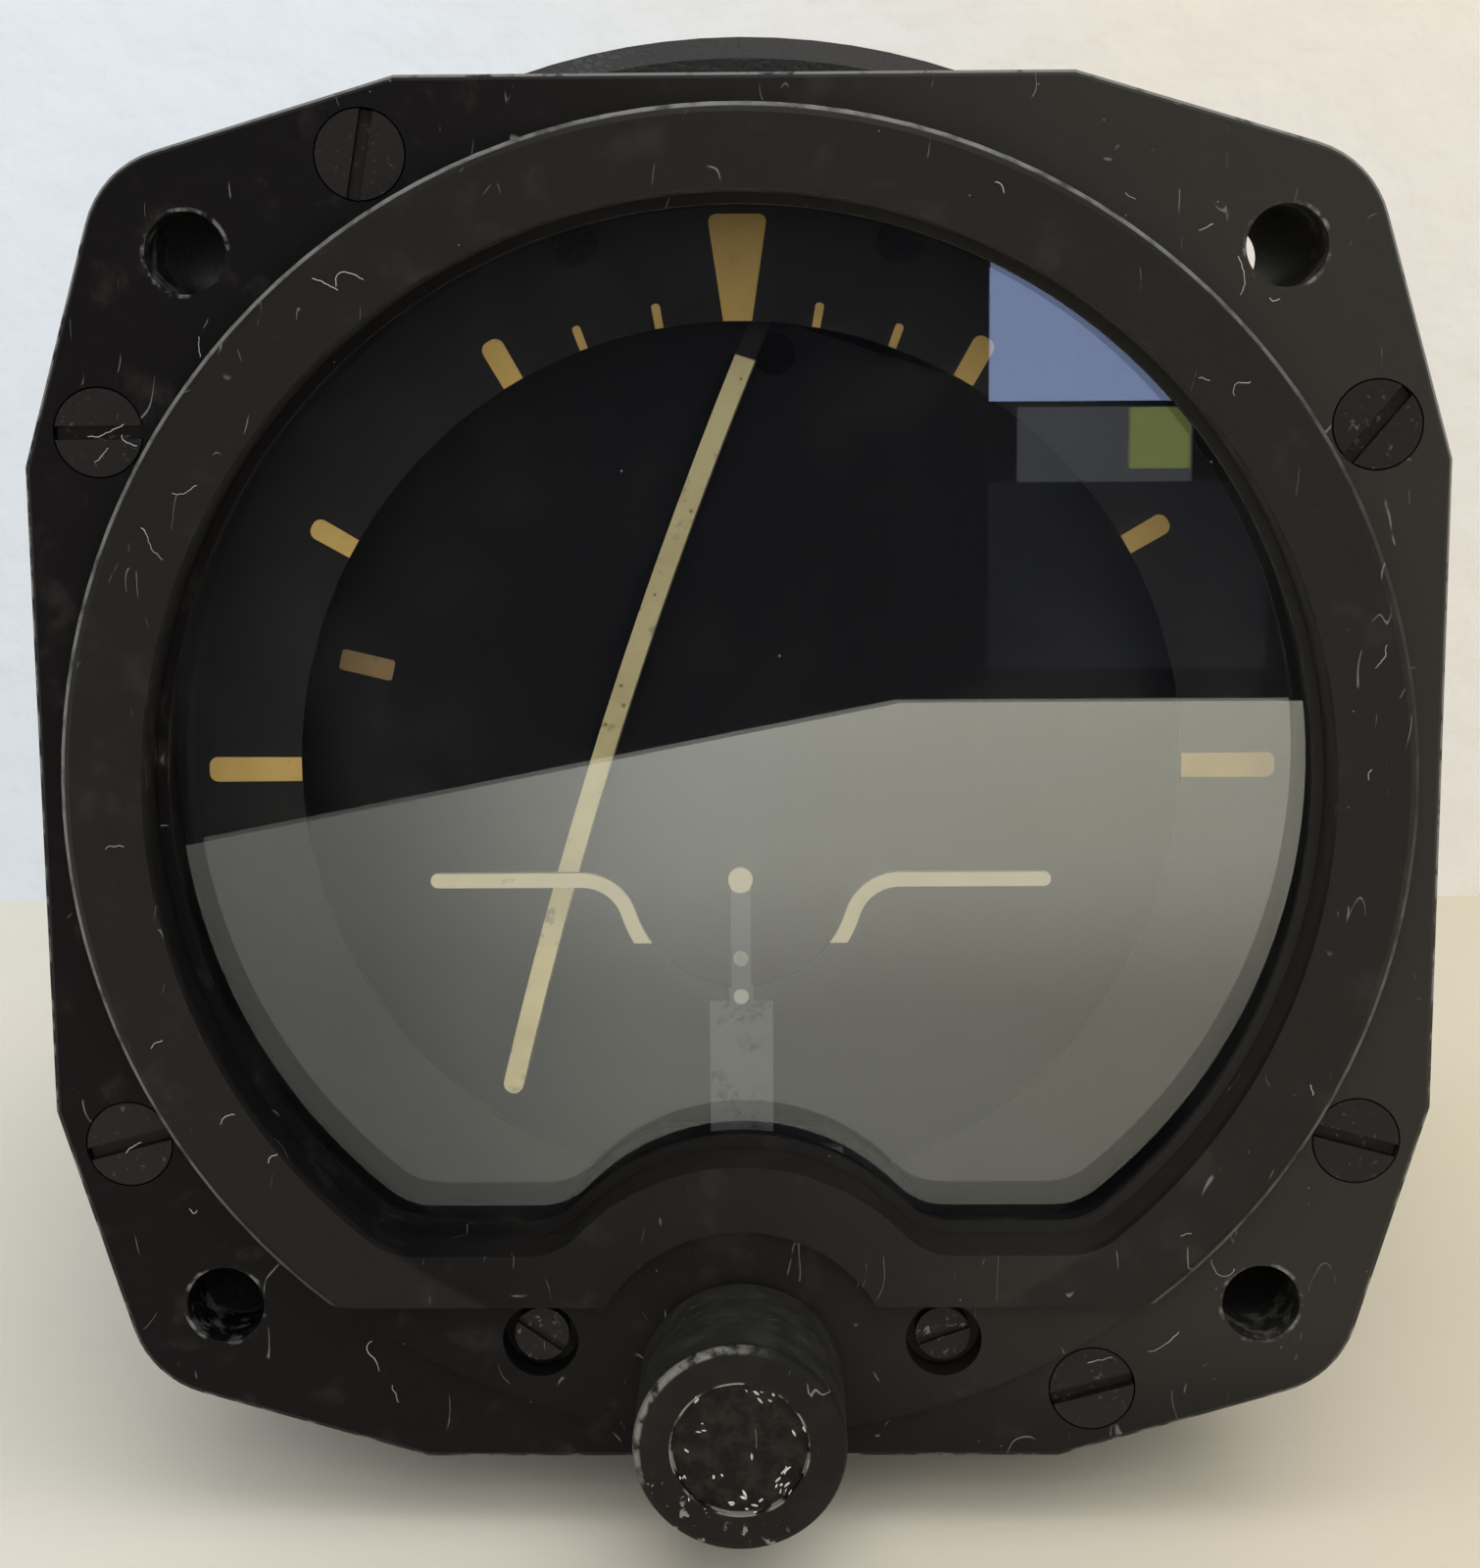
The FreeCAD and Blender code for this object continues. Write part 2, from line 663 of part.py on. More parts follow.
def window_outline(sketch, step=0.0):
    """Round window with a flat bottom broken by the hump over the knob, spread by a step."""
    radius = S.window_radius + step
    low = S.window_flat + step
    hump = S.hump_radius - step
    corner = S.window_corner + step
    drop = S.knob_drop
    outer_centre = V(leg(radius - corner, low - corner).value, (corner - low).value, 0)
    inner_centre = V(leg(hump + corner, drop - low + corner).value, (corner - low).value, 0)
    knob = V(0, -drop.value, 0)
    rim = V(outer_centre).normalize() * radius.value
    crest = knob + (inner_centre - knob).normalize() * hump.value
    foot = V(outer_centre.x, -low.value, 0)
    toe = V(inner_centre.x, -low.value, 0)

    def mirror(point):
        return V(-point.x, point.y, 0)

    shapes = [
        Part.Arc(rim, V(0, radius.value, 0), mirror(rim)),
        short_arc(mirror(outer_centre), mirror(rim), mirror(foot)),
        Part.LineSegment(mirror(foot), mirror(toe)),
        short_arc(mirror(inner_centre), mirror(toe), mirror(crest)),
        Part.Arc(mirror(crest), knob + V(0, hump.value, 0), crest),
        short_arc(inner_centre, crest, toe),
        Part.LineSegment(toe, foot),
        short_arc(outer_centre, foot, rim),
    ]
    joints = [mirror(rim), mirror(foot), mirror(toe), mirror(crest), crest, toe, foot, rim]
    edges = chain(sketch, shapes, joints, [True] * 8)
    sketch.addConstraint(constraint("Coincident", edges[0], 3, -1, 1))
    hold(sketch, "DistanceX", edges[4], 3, 0)
    hold(sketch, "DistanceY", edges[4], 3, -drop)
    measure(sketch, "Radius", edges[0], radius)
    measure(sketch, "Radius", edges[4], hump)
    for index in (1, 3, 5, 7):
        measure(sketch, "Radius", edges[index], corner)
    for index in (2, 6):
        sketch.addConstraint(constraint("Horizontal", edges[index]))
        hold(sketch, "DistanceY", edges[index], 1, -low)


def mounting_holes(sketch, radius):
    """Four circles on the mounting square."""
    for right, up in corner_signs():
        circle(sketch, hole_at * right, hole_at * up, radius)


def bezel_screw_places():
    """Angles of the six bezel screws, clockwise from the top, and of their slots."""
    return [(-30, 80), (-60, 0), (-120, 15), (150, 15), (120, -15), (60, 50)]


def on_circle(radius, angle):
    """Point on a circle, at an angle clockwise from the top, as two Sizes."""
    angle = as_size(angle)
    return radius * sine(angle), radius * cosine(angle)


# ---------------------------------------------------------------- bezel and its screws

def make_bezel():
    """Cast front: lobed flange, raised ring, window with its lip, hump and knob platform."""
    body = new_body("bezel")
    outline = new_sketch(body, "XZ_Plane")
    flange_outline(outline)
    pad_back(body, outline, S.bezel_thickness)
    disc = new_sketch(body, "XZ_Plane")
    circle(disc, 0, 0, S.ring_radius)
    feature(body, "Pad", disc, Length=S.ring_height, Reversed=False)
    doc.recompute()
    rims = [name for name, edge in named_edges(body.Tip.Shape)
            if is_circle(edge, S.ring_radius.value) and abs(edge.CenterOfMass.y + S.ring_height.value) < 0.01]
    bevel(body, rims, S.ring_bevel)
    doc.recompute()
    face = [name for name, edge in named_edges(body.Tip.Shape)
            if edge.BoundBox.YLength < 1e-6 and abs(edge.BoundBox.YMin) < 1e-6
            and not is_circle(edge, S.ring_radius.value)]
    bevel(body, face, S.flange_bevel)
    boss = new_sketch(body, "XZ_Plane", -S.flange_bevel)
    circle(boss, 0, -S.knob_drop, S.knob_radius + S.knob_shadow)
    feature(body, "Pad", boss, Length=S.platform_height + S.flange_bevel, Reversed=False)
    below = new_sketch(body, "XZ_Plane", S.platform_height)
    reach = S.knob_radius * 2
    polygon(below, [(-reach, -flange_half - reach), (reach, -flange_half - reach),
                    (reach, -flange_half), (-reach, -flange_half)])
    pocket_back(body, below, S.platform_height + S.flange_bevel)
    wall = new_sketch(body, "XZ_Plane", S.ring_height)
    window_outline(wall, S.lip_step)
    pocket_back(body, wall, S.ring_height + S.lip_depth)
    lip = new_sketch(body, "XZ_Plane", S.ring_height)
    window_outline(lip)
    pocket_back(body, lip, S.ring_height + S.bezel_thickness)
    seat = new_sketch(body, "XZ_Plane", -glass_front)
    window_outline(seat, S.seat_step)
    pocket_back(body, seat, S.bezel_thickness - glass_front)
    step_down = S.ring_height - S.platform_height
    lower = new_sketch(body, "XZ_Plane", S.ring_height)
    side = flange_half
    polygon(lower, [(-side, -side), (side, -side), (side, -S.platform_drop), (-side, -S.platform_drop)])
    pocket_back(body, lower, step_down)
    crescent = new_sketch(body, "XZ_Plane", S.ring_height)
    circle(crescent, 0, -S.knob_drop, S.crest_radius)
    pocket_back(body, crescent, step_down)
    bore = new_sketch(body, "XZ_Plane", S.ring_height)
    circle(bore, 0, -S.knob_drop, S.bushing_radius + S.fit)
    pocket_back(body, bore, S.ring_height + S.bezel_thickness)
    wells = new_sketch(body, "XZ_Plane", S.platform_height)
    through = new_sketch(body, "XZ_Plane", S.platform_height)
    for right in (-1, 1):
        across = S.bracket_screw_across * right
        circle(wells, across, -S.bracket_screw_drop, S.counterbore_radius)
        circle(through, across, -S.bracket_screw_drop, S.bracket_screw_radius + S.slip)
    pocket_back(body, wells, S.platform_height + S.bracket_head_depth)
    pocket_back(body, through, S.platform_height + S.bezel_thickness)
    mounting = new_sketch(body, "XZ_Plane")
    mounting_holes(mounting, S.hole_radius)
    pocket_back(body, mounting, S.bezel_thickness)
    heads = new_sketch(body, "XZ_Plane", S.ring_height)
    shanks = new_sketch(body, "XZ_Plane", S.ring_height)
    for angle, _ in bezel_screw_places():
        x, z = on_circle(S.screw_circle, angle)
        circle(heads, x, z, S.screw_head_radius + S.slip)
        circle(shanks, x, z, S.screw_radius + S.slip)
    pocket_back(body, heads, S.ring_height + S.screw_head_height)
    pocket_back(body, shanks, S.ring_height + S.bezel_thickness)
    rails = new_sketch(body, "XZ_Plane", -S.bezel_thickness)
    left = -(S.post_half + S.gap)
    right = S.rack_back + S.gap
    top = S.knob_drop - S.crest_radius - 1
    polygon(rails, [(left - 1.2, -top - 7), (left, -top - 7), (left, -top), (left - 1.2, -top)])
    polygon(rails, [(right, -top - 11), (right + 1.2, -top - 11), (right + 1.2, -top - 3), (right, -top - 3)])
    pad_back(body, rails, S.plate_front + S.plate_thickness - S.bezel_thickness)
    return keep(body)


def named_edges(shape):
    """Every edge of a shape with the name that a fillet or chamfer takes."""
    return [(f"Edge{index + 1}", edge) for index, edge in enumerate(shape.Edges)]


def is_circle(edge, radius):
    """Whether an edge is a round one of this radius."""
    return isinstance(edge.Curve, Part.Circle) and abs(edge.Curve.Radius - radius) < 1e-6


def bevel(body, names, size):
    """Chamfer the named edges of the body's tip."""
    base = body.Tip
    item = body.newObject("PartDesign::Chamfer", f"{body.Name}_bevel")
    item.Base = (base, names)
    bind(item, "Size", size)
    body.Tip = item
    return item


def make_bezel_screws():
    """Six slotted screws, flush with the flange."""
    screw = slotted_screw(S.screw_head_radius, S.screw_head_height, S.screw_radius,
                          case_front + S.case_flange - S.slip, S.slot_width, S.slot_depth)
    shapes = []
    for angle, slot in bezel_screw_places():
        x, z = on_circle(S.screw_circle, angle)
        shapes.append(set_screw(screw, x, 0, z, slot))
    return keep(solid_group("bezel_screws", shapes))


def make_bracket_screws():
    """Two small screws in the counterbores beside the knob."""
    start = S.bracket_head_depth - S.bracket_head_height
    length = S.bracket_front + S.bracket_thickness - start
    screw = slotted_screw(S.bracket_head_radius, S.bracket_head_height, S.bracket_screw_radius,
                          length, S.small_slot_width, S.small_slot_depth)
    shapes = []
    for right, slot in ((-1, -35), (1, 20)):
        shapes.append(set_screw(screw, S.bracket_screw_across * right, start, -S.bracket_screw_drop, slot))
    return keep(solid_group("bracket_screws", shapes))


def make_case_gasket():
    """Sealant between bezel and case, with the same outline as the flange."""
    body = new_body("case_gasket")
    outline = new_sketch(body, "XZ_Plane", -S.bezel_thickness)
    flange_outline(outline)
    circle(outline, 0, 0, S.neck_bore)
    mounting_holes(outline, S.hole_radius)
    for angle, _ in bezel_screw_places():
        x, z = on_circle(S.screw_circle, angle)
        circle(outline, x, z, S.screw_radius + S.slip)
    pad_back(body, outline, S.seal_thickness)
    well = new_sketch(body, "XZ_Plane", -S.bezel_thickness)
    circle(well, 0, -S.knob_drop, S.bushing_flange + S.bushing_room)
    pocket_back(body, well, S.seal_thickness)
    return keep(body)


# ---------------------------------------------------------------- glass and dial stack

def make_window_glass():
    """Flat glass with the same outline as its seat."""
    body = new_body("window_glass")
    outline = new_sketch(body, "XZ_Plane", -glass_front)
    window_outline(outline, S.seat_step - S.slip)
    pad_back(body, outline, S.glass_thickness)
    return keep(body)


def make_glass_gasket():
    """Rubber frame behind the glass."""
    body = new_body("glass_gasket")
    outline = new_sketch(body, "XZ_Plane", -glass_back)
    window_outline(outline, S.seat_step - S.slip)
    window_outline(outline, S.lip_step)
    pad_back(body, outline, S.gasket_thickness)
    return keep(body)


def make_spacer_ring():
    """Ring from the glass gasket to the mask, open at the bottom round the adjuster."""
    inner = S.window_radius + S.lip_step + 0.6
    outer = S.neck_bore - S.gap
    body = turned("spacer_ring", [(inner, gasket_back), (outer, gasket_back),
                                  (outer, S.mask_depth), (inner, S.mask_depth)])
    opening = new_sketch(body, "XZ_Plane")
    side = S.bracket_radius + 2
    polygon(opening, [(-side, -S.neck_radius), (side, -S.neck_radius), (side, 0), (-side, 0)])
    pocket_back(body, opening, S.mask_depth + 1)
    return keep(body)


def make_mask_ring():
    """Flat black ring that carries the bank scale."""
    body = new_body("mask_ring")
    ring = new_sketch(body, "XZ_Plane", -S.mask_depth)
    circle(ring, 0, 0, S.neck_bore - S.gap)
    circle(ring, 0, 0, S.mask_radius)
    for side in (-1, 1):
        x, z = on_circle(S.mask_screw_circle, S.mask_screw_angle * side)
        circle(ring, x, z, S.mask_screw_radius + S.slip)
    pad_back(body, ring, S.mask_thickness)
    return keep(body)


def make_mask_carrier():
    """Ring between the mask and the ledge of the case."""
    body = new_body("mask_carrier")
    ring = new_sketch(body, "XZ_Plane", -mask_back)
    circle(ring, 0, 0, S.neck_bore - S.gap)
    circle(ring, 0, 0, S.carrier_radius)
    for side in (-1, 1):
        x, z = on_circle(S.mask_screw_circle, S.mask_screw_angle * side)
        circle(ring, x, z, S.mask_screw_radius)
    pad_back(body, ring, S.carrier_thickness)
    return keep(body)


def make_mask_screws():
    """Two small screws in the upper part of the mask."""
    start = S.mask_depth - S.mask_head_height
    screw = slotted_screw(S.mask_head_radius, S.mask_head_height, S.mask_screw_radius,
                          ledge - start, S.small_slot_width, S.small_slot_depth)
    shapes = []
    for side, slot in ((-1, 30), (1, -10)):
        x, z = on_circle(S.mask_screw_circle, S.mask_screw_angle * side)
        shapes.append(set_screw(screw, x, start, z, slot))
    return keep(solid_group("mask_screws", shapes))


# ---------------------------------------------------------------- case and rear

def flute_rods(radius, start, end):
    """Four rods along the mounting holes' axes."""
    return [rod(radius, start, end, hole_at * right, hole_at * up) for right, up in corner_signs()]


def post_places(circle_radius, angle):
    """Four places on a circle, a quarter turn apart, from an angle clockwise from the top."""
    return [on_circle(circle_radius, as_size(angle) + 90 * quarter) for quarter in range(4)]


def make_case_body():
    """Case: flange, neck, corner bosses and a fluted barrel with posts inside."""
    flange = new_body("case_flange")
    outline = new_sketch(flange, "XZ_Plane", -case_front)
    flange_outline(outline)
    pad_back(flange, outline, S.case_flange)
    neck = rod(S.neck_radius, case_front, throat_end)
    bosses = flute_rods(S.boss_radius, case_front, S.barrel_front)
    barrel_body = turned("case_barrel", [
        (0, S.barrel_front), (S.barrel_radius - S.barrel_bevel, S.barrel_front),
        (S.barrel_radius, S.barrel_front + S.barrel_bevel), (S.barrel_radius, barrel_end),
        (0, barrel_end)])
    outside = cut(barrel_body, flute_rods(S.flute_radius, S.barrel_front - 1, barrel_end + 1))
    shell = join([flange, neck, *bosses, outside])
    hollow = cut(rod(bore_radius, throat_end, barrel_end + 1),
                 flute_rods(inner_flute, throat_end - 1, barrel_end + 2))
    bores = [rod(S.neck_bore, case_front - 1, ledge), rod(S.throat_radius, ledge - 1, throat_end + 1), hollow]
    holes = flute_rods(S.hole_radius, case_front - 1, S.barrel_front + 1)
    taps = []
    for angle, _ in bezel_screw_places():
        x, z = on_circle(S.screw_circle, angle)
        taps.append(rod(S.screw_radius, case_front - 1, case_front + S.case_flange + 1, x, z))
    well = block(S.rack_back - 3, S.rack_back + 1, case_front - 1, S.bracket_front,
                 -(flange_half - 0.9), -(S.neck_bore - 1))
    bushing_well = rod(S.bushing_flange + S.bushing_room, case_front - 1, S.bracket_front, 0, -S.knob_drop)
    open_case = cut(shell, [*bores, *holes, *taps, well, bushing_well])
    posts = []
    for x, z in post_places(cover_post_circle, 0):
        post = rod(S.post_radius, barrel_end - S.cover_post_length, barrel_end, x, z)
        tap = rod(S.rear_screw_radius, barrel_end - S.cover_post_length + 1, barrel_end + 1, x, z)
        posts.append(cut(post, [tap]))
    for x, z in post_places(bulkhead_post_circle, S.bulkhead_post_angle):
        start = bulkhead_front - S.bulkhead_post_length
        post = rod(S.post_radius, start, bulkhead_front, x, z)
        tap = rod(S.rear_screw_radius, start + 1, bulkhead_front + 1, x, z)
        posts.append(cut(post, [tap]))
    inside = overlap([join(posts), rod(S.barrel_radius - S.wall / 2, S.barrel_front, barrel_end)])
    return keep(join([open_case, inside], "case_body"))


def make_rear_bulkhead():
    """Plate across the case with the long hub of the roll bearings."""
    back = bulkhead_front + S.bulkhead_thickness
    hub_end = bulkhead_front + S.hub_length
    plate = rod(bore_radius - S.gap, bulkhead_front, back)
    hub = rod(S.hub_radius, bulkhead_front, hub_end)
    tools = flute_rods(inner_flute + S.gap, bulkhead_front - 1, back + 1)
    for x, z in post_places(cover_post_circle, 0):
        tools.append(rod(S.post_radius + 1, bulkhead_front - 1, back + 1, x, z))
    for x, z in post_places(bulkhead_post_circle, S.bulkhead_post_angle):
        tools.append(rod(S.rear_screw_radius + S.slip, bulkhead_front - 1, back + 1, x, z))
    bearing = S.roll_bearing_outer
    tools.append(rod(bearing, bulkhead_front - 1, bulkhead_front + S.roll_bearing_width))
    tools.append(rod(bearing, hub_end - S.roll_bearing_width, hub_end + 1))
    tools.append(rod(bearing - 1.2, bulkhead_front, hub_end))
    return keep(cut(join([plate, hub]), tools, "rear_bulkhead"))


def make_bulkhead_screws():
    """Four screws that hold the bulkhead to the posts of the case."""
    screw = slotted_screw(S.rear_head_radius, S.rear_head_height, S.rear_screw_radius,
                          S.rear_head_height + S.bulkhead_thickness + 7, S.slot_width, S.slot_depth)
    start = bulkhead_front + S.bulkhead_thickness + S.rear_head_height
    shapes = []
    for index, (x, z) in enumerate(post_places(bulkhead_post_circle, S.bulkhead_post_angle)):
        shapes.append(set_screw(screw, x, start, z, 25 + 40 * index, True))
    return keep(solid_group("bulkhead_screws", shapes))


def cover_tools(start, end, clearance):
    """Holes of the cover screws, the connector and its screws."""
    tools = [rod(S.rear_screw_radius + clearance, start, end, x, z)
             for x, z in post_places(cover_post_circle, 0)]
    tools.append(rod(S.connector_radius, start, end, 0, -S.connector_drop))
    for right, up in corner_signs():
        half = S.connector_pitch / 2
        tools.append(rod(S.rear_screw_radius - 0.3, start, end, half * right, half * up - S.connector_drop))
    return tools


def make_rear_cover():
    """Fluted end plate with a locating spigot."""
    plate = cut(rod(S.barrel_radius, cover_front, cover_back),
                flute_rods(S.flute_radius, cover_front - 1, cover_back + 1))
    spigot = cut(rod(spigot_radius, cover_front - S.spigot_length, cover_front + 0.5),
                 [rod(spigot_radius - S.spigot_wall, cover_front - S.spigot_length - 1, cover_front + 1)])
    start = cover_front - S.spigot_length - 2
    return keep(cut(join([plate, spigot]), cover_tools(start, cover_back + 1, S.slip), "rear_cover"))


def make_rear_cover_gasket():
    """Rubber ring under the rear cover."""
    plate = cut(rod(S.barrel_radius - 0.4, barrel_end, cover_front),
                flute_rods(S.flute_radius + 0.4, barrel_end - 1, cover_front + 1))
    tools = [rod(spigot_radius + S.gap, barrel_end - 1, cover_front + 1)]
    for x, z in post_places(cover_post_circle, 0):
        tools.append(rod(S.rear_screw_radius + S.slip, barrel_end - 1, cover_front + 1, x, z))
    return keep(cut(plate, tools, "rear_cover_gasket"))


def make_rear_cover_screws():
    """Four screws of the rear cover."""
    screw = slotted_screw(S.rear_head_radius, S.rear_head_height, S.rear_screw_radius,
                          S.rear_head_height + S.cover_thickness + 7, S.slot_width, S.slot_depth)
    shapes = []
    for index, (x, z) in enumerate(post_places(cover_post_circle, 0)):
        shapes.append(set_screw(screw, x, cover_back + S.rear_head_height, z, 15 + 50 * index, True))
    return keep(solid_group("rear_cover_screws", shapes))


def make_connector_shell():
    """Receptacle with a square flange and a round barrel."""
    half = S.connector_flange / 2
    drop = S.connector_drop
    flange_back = cover_back + S.connector_flange_thickness
    flange = block(-half, half, cover_back, flange_back, -half - drop, half - drop)
    corners = rod(half * 1.27, cover_back - 1, flange_back + 1, 0, -drop)
    barrel = rod(S.connector_radius, flange_back, flange_back + S.connector_length, 0, -drop)
    neck = rod(S.connector_radius - S.gap, cover_front, flange_back, 0, -drop)
    body = join([overlap([flange, corners]), barrel, neck])
    bore = rod(S.connector_radius - S.connector_wall, cover_front - 1,
               flange_back + S.connector_length + 1, 0, -drop)
    tools = [bore]
    for right, up in corner_signs():
        pitch = S.connector_pitch / 2
        tools.append(rod(S.rear_screw_radius - 0.2, cover_back - 1, flange_back + 1,
                         pitch * right, pitch * up - drop))
    return keep(cut(body, tools, "connector_shell"))


def pin_places():
    """One pin at the middle and six round it."""
    places = [(as_size(0), as_size(0))]
    return places + [on_circle(S.pin_circle, 60 * index) for index in range(6)]


def make_connector_insert():
    """Insulating insert with a hole for each pin."""
    front = cover_back + S.connector_flange_thickness + S.insert_rise
    drop = S.connector_drop
    disc = rod(S.connector_radius - S.connector_wall - S.fit, cover_front, front, 0, -drop)
    tools = [rod(S.pin_radius, cover_front - 1, front + 1, x, z - drop) for x, z in pin_places()]
    return keep(cut(disc, tools, "connector_insert"))


def make_connector_pins():
    """Contact pins with rounded tips."""
    front = cover_back + S.connector_flange_thickness + S.insert_rise
    radius = S.pin_radius.value
    length = (front - cover_front + S.pin_length + 1.5).value
    pin = Part.makeCylinder(radius, length - radius, V(0, 0, 0), V(0, 1, 0))
    tip = Part.makeCone(radius, radius * 0.4, radius, V(0, length - radius, 0), V(0, 1, 0))
    shape = pin.fuse(tip).removeSplitter()
    shapes = []
    for x, z in pin_places():
        copy = shape.copy()
        copy.Placement = Placement(V(float(x), float(cover_front - 1.5), float(z - S.connector_drop)), Rotation())
        shapes.append(copy)
    return keep(solid_group("connector_pins", shapes))


def make_connector_screws():
    """Four small screws of the connector flange."""
    flange_back = cover_back + S.connector_flange_thickness
    screw = slotted_screw(2.1, 1.3, S.rear_screw_radius - 0.3,
                          S.connector_flange_thickness + S.cover_thickness + 1.3, 0.6, 0.5)
    pitch = S.connector_pitch / 2
    shapes = []
    for index, (right, up) in enumerate(corner_signs()):
        place_x, place_z = pitch * right, pitch * up - S.connector_drop
        shapes.append(set_screw(screw, place_x, flange_back + 1.3, place_z, 40 + 35 * index, True))
    return keep(solid_group("connector_screws", shapes))


# ---------------------------------------------------------------- knob and aircraft adjuster

def involute(angle):
    """Involute of an angle in radians."""
    return math.tan(angle) - angle


def gear_face(teeth, phase, bore):
    """Face of a spur gear in the XZ plane; phase is in teeth, clockwise from the top."""
    module = S.gear_module.value
    pressure = math.radians(20)
    pitch = module * teeth / 2
    base = pitch * math.cos(pressure)
    backlash = module * 0.12
    radii = [pitch - 1.15 * module, pitch - 0.5 * module, pitch, pitch + 0.75 * module]
    points = []
    for tooth in range(int(teeth)):
        centre = (tooth + phase) * 2 * math.pi / teeth
        flank = []
        for radius in radii:
            rolled = math.acos(min(1.0, base / radius))
            half = math.pi / (2 * teeth) + involute(pressure) - involute(rolled)
            flank.append((radius, half - backlash / (2 * pitch)))
        for radius, half in flank:
            points.append((radius, centre - half))
        for radius, half in reversed(flank):
            points.append((radius, centre + half))
    corners = [V(radius * math.sin(angle), 0, radius * math.cos(angle)) for radius, angle in points]
    outline = Part.makePolygon(corners + corners[:1])
    face = Part.Face(outline)
    if bore:
        face = face.cut(Part.Face(Part.Wire(Part.makeCircle(bore, V(0, 0, 0), V(0, 1, 0)))))
    return face


def gear_solid(teeth, phase, bore, start, thickness):
    """Spur gear about the Y axis."""
    solid = gear_face(teeth, phase, bore).extrude(V(0, float(thickness), 0))
    solid.translate(V(0, float(start), 0))
    return solid


def make_knob():
    """Plain round knob with a shallow recess in its face and a set screw hole underneath."""
    back = -S.knob_back
    front = back - S.knob_length
    floor = front + S.knob_recess_depth
    edge = S.knob_edge
    bore = S.shaft_radius + 0.02
    solid = turned("knob_blank", [
        (bore, back), (S.knob_radius - edge, back), (S.knob_radius, back - edge),
        (S.knob_radius, front + edge), (S.knob_radius - edge * 0.3, front + edge * 0.3),
        (S.knob_radius - edge, front), (S.knob_recess_radius, front),
        (S.knob_recess_radius, floor), (0, floor),
        (0, back - S.knob_bore_depth), (bore, back - S.knob_bore_depth)])
    middle = back - S.knob_bore_depth / 2
    hole = rod(1.0, -S.knob_radius - 1, -S.shaft_radius, 0, middle, "z")
    return keep(cut(solid, [hole], "knob"), knob_frame)


def make_knob_set_screw():
    """Slotted set screw in the underside of the knob."""
    middle = -S.knob_back - S.knob_bore_depth / 2
    outer = -S.knob_radius + 0.7
    screw = rod(0.97, outer, -S.shaft_radius - 0.02, 0, middle, "z")
    slot = block(-1.2, as_size(1.2), middle - 0.2, middle + 0.2, outer - 0.1, outer + 0.5)
    return keep(cut(screw, [slot], "knob_set_screw"), knob_frame)


def make_pinion_shaft():
    """Knob shaft with the pinion's teeth cut on it."""
    start = -S.knob_back - S.knob_bore_depth + 0.2
    end = S.bracket_front + S.bracket_thickness
    shaft = Part.makeCylinder(S.shaft_radius.value, (end - start).value, V(0, start.value, 0), V(0, 1, 0))
    teeth = gear_solid(S.pinion_teeth.value, 0.0, 0, S.gear_front, S.gear_thickness)
    return keep(solid_group("pinion_shaft", [shaft.fuse(teeth).removeSplitter()]), knob_frame)


def make_knob_spring_washer():
    """Dished washer between the bushing and the pinion."""
    start = S.bezel_thickness + 0.8
    bore = S.shaft_radius + 0.03
    washer = turned("knob_spring_washer", [(bore, start), (bore + 0.75, start + 0.65),
                                           (bore + 0.75, start + 0.9), (bore, start + 0.25)])
    return keep(washer, knob_frame)


def make_knob_bushing():
    """Flanged bushing of the knob shaft, pressed in from behind."""
    bore = S.shaft_radius + S.fit
    front = -(S.knob_back - 0.35)
    back = S.bezel_thickness
    bushing = turned("knob_bushing", [(bore, front), (S.bushing_radius - 0.2, front),
                                      (S.bushing_radius, front + 0.2), (S.bushing_radius, back),
                                      (S.bushing_flange, back), (S.bushing_flange, back + 0.6),
                                      (bore, back + 0.6)])
    return keep(bushing, knob_frame)


def make_adjuster_bracket():
    """Small plate that carries the rear of the knob shaft and the idler pin."""
    back = S.bracket_front + S.bracket_thickness
    drop = S.knob_drop
    disc = rod(S.bracket_radius, S.bracket_front, back, 0, -drop)
    bound = rod(S.neck_bore - S.gap - S.slip, S.bracket_front, back)
    top = S.hump_radius - 1.4 - drop
    lower = block(-S.neck_bore, S.neck_bore, S.bracket_front, back, -S.neck_bore, top)
    tools = [rod(S.shaft_radius + S.fit, S.bracket_front - 1, back + 1, 0, -drop)]
    tools.append(rod(S.idler_pin_radius, S.bracket_front - 1, back + 1, 0, idler_height))
    for right in (-1, 1):
        tools.append(rod(S.bracket_screw_radius, S.bracket_front - 1, back + 1,
                         S.bracket_screw_across * right, -S.bracket_screw_drop))
    return keep(cut(overlap([disc, bound, lower]), tools, "adjuster_bracket"))


def make_bracket_spacers():
    """Two tubes between the bezel and the adjuster bracket."""
    tubes = []
    for right in (-1, 1):
        x, z = S.bracket_screw_across * right, -S.bracket_screw_drop
        tube = rod(2.0, S.bezel_thickness, S.bracket_front, x, z)
        bore = rod(S.bracket_screw_radius + S.slip, S.bezel_thickness - 1, S.bracket_front + 1, x, z)
        tubes.append(cut(tube, [bore]))
    return keep(join(tubes, "bracket_spacers"))


def make_idler_pin():
    """Pin pressed into the bracket."""
    pin = rod(S.idler_pin_radius, S.gear_front - 0.1, S.bracket_front + S.bracket_thickness, 0, idler_height)
    pin.Label = "idler_pin"
    return keep(pin)


def idler_phase():
    """Turn of the idler, in teeth, that puts a gap over the pinion's upper tooth."""
    return (S.idler_teeth.value / 2 - 0.5) % 1.0


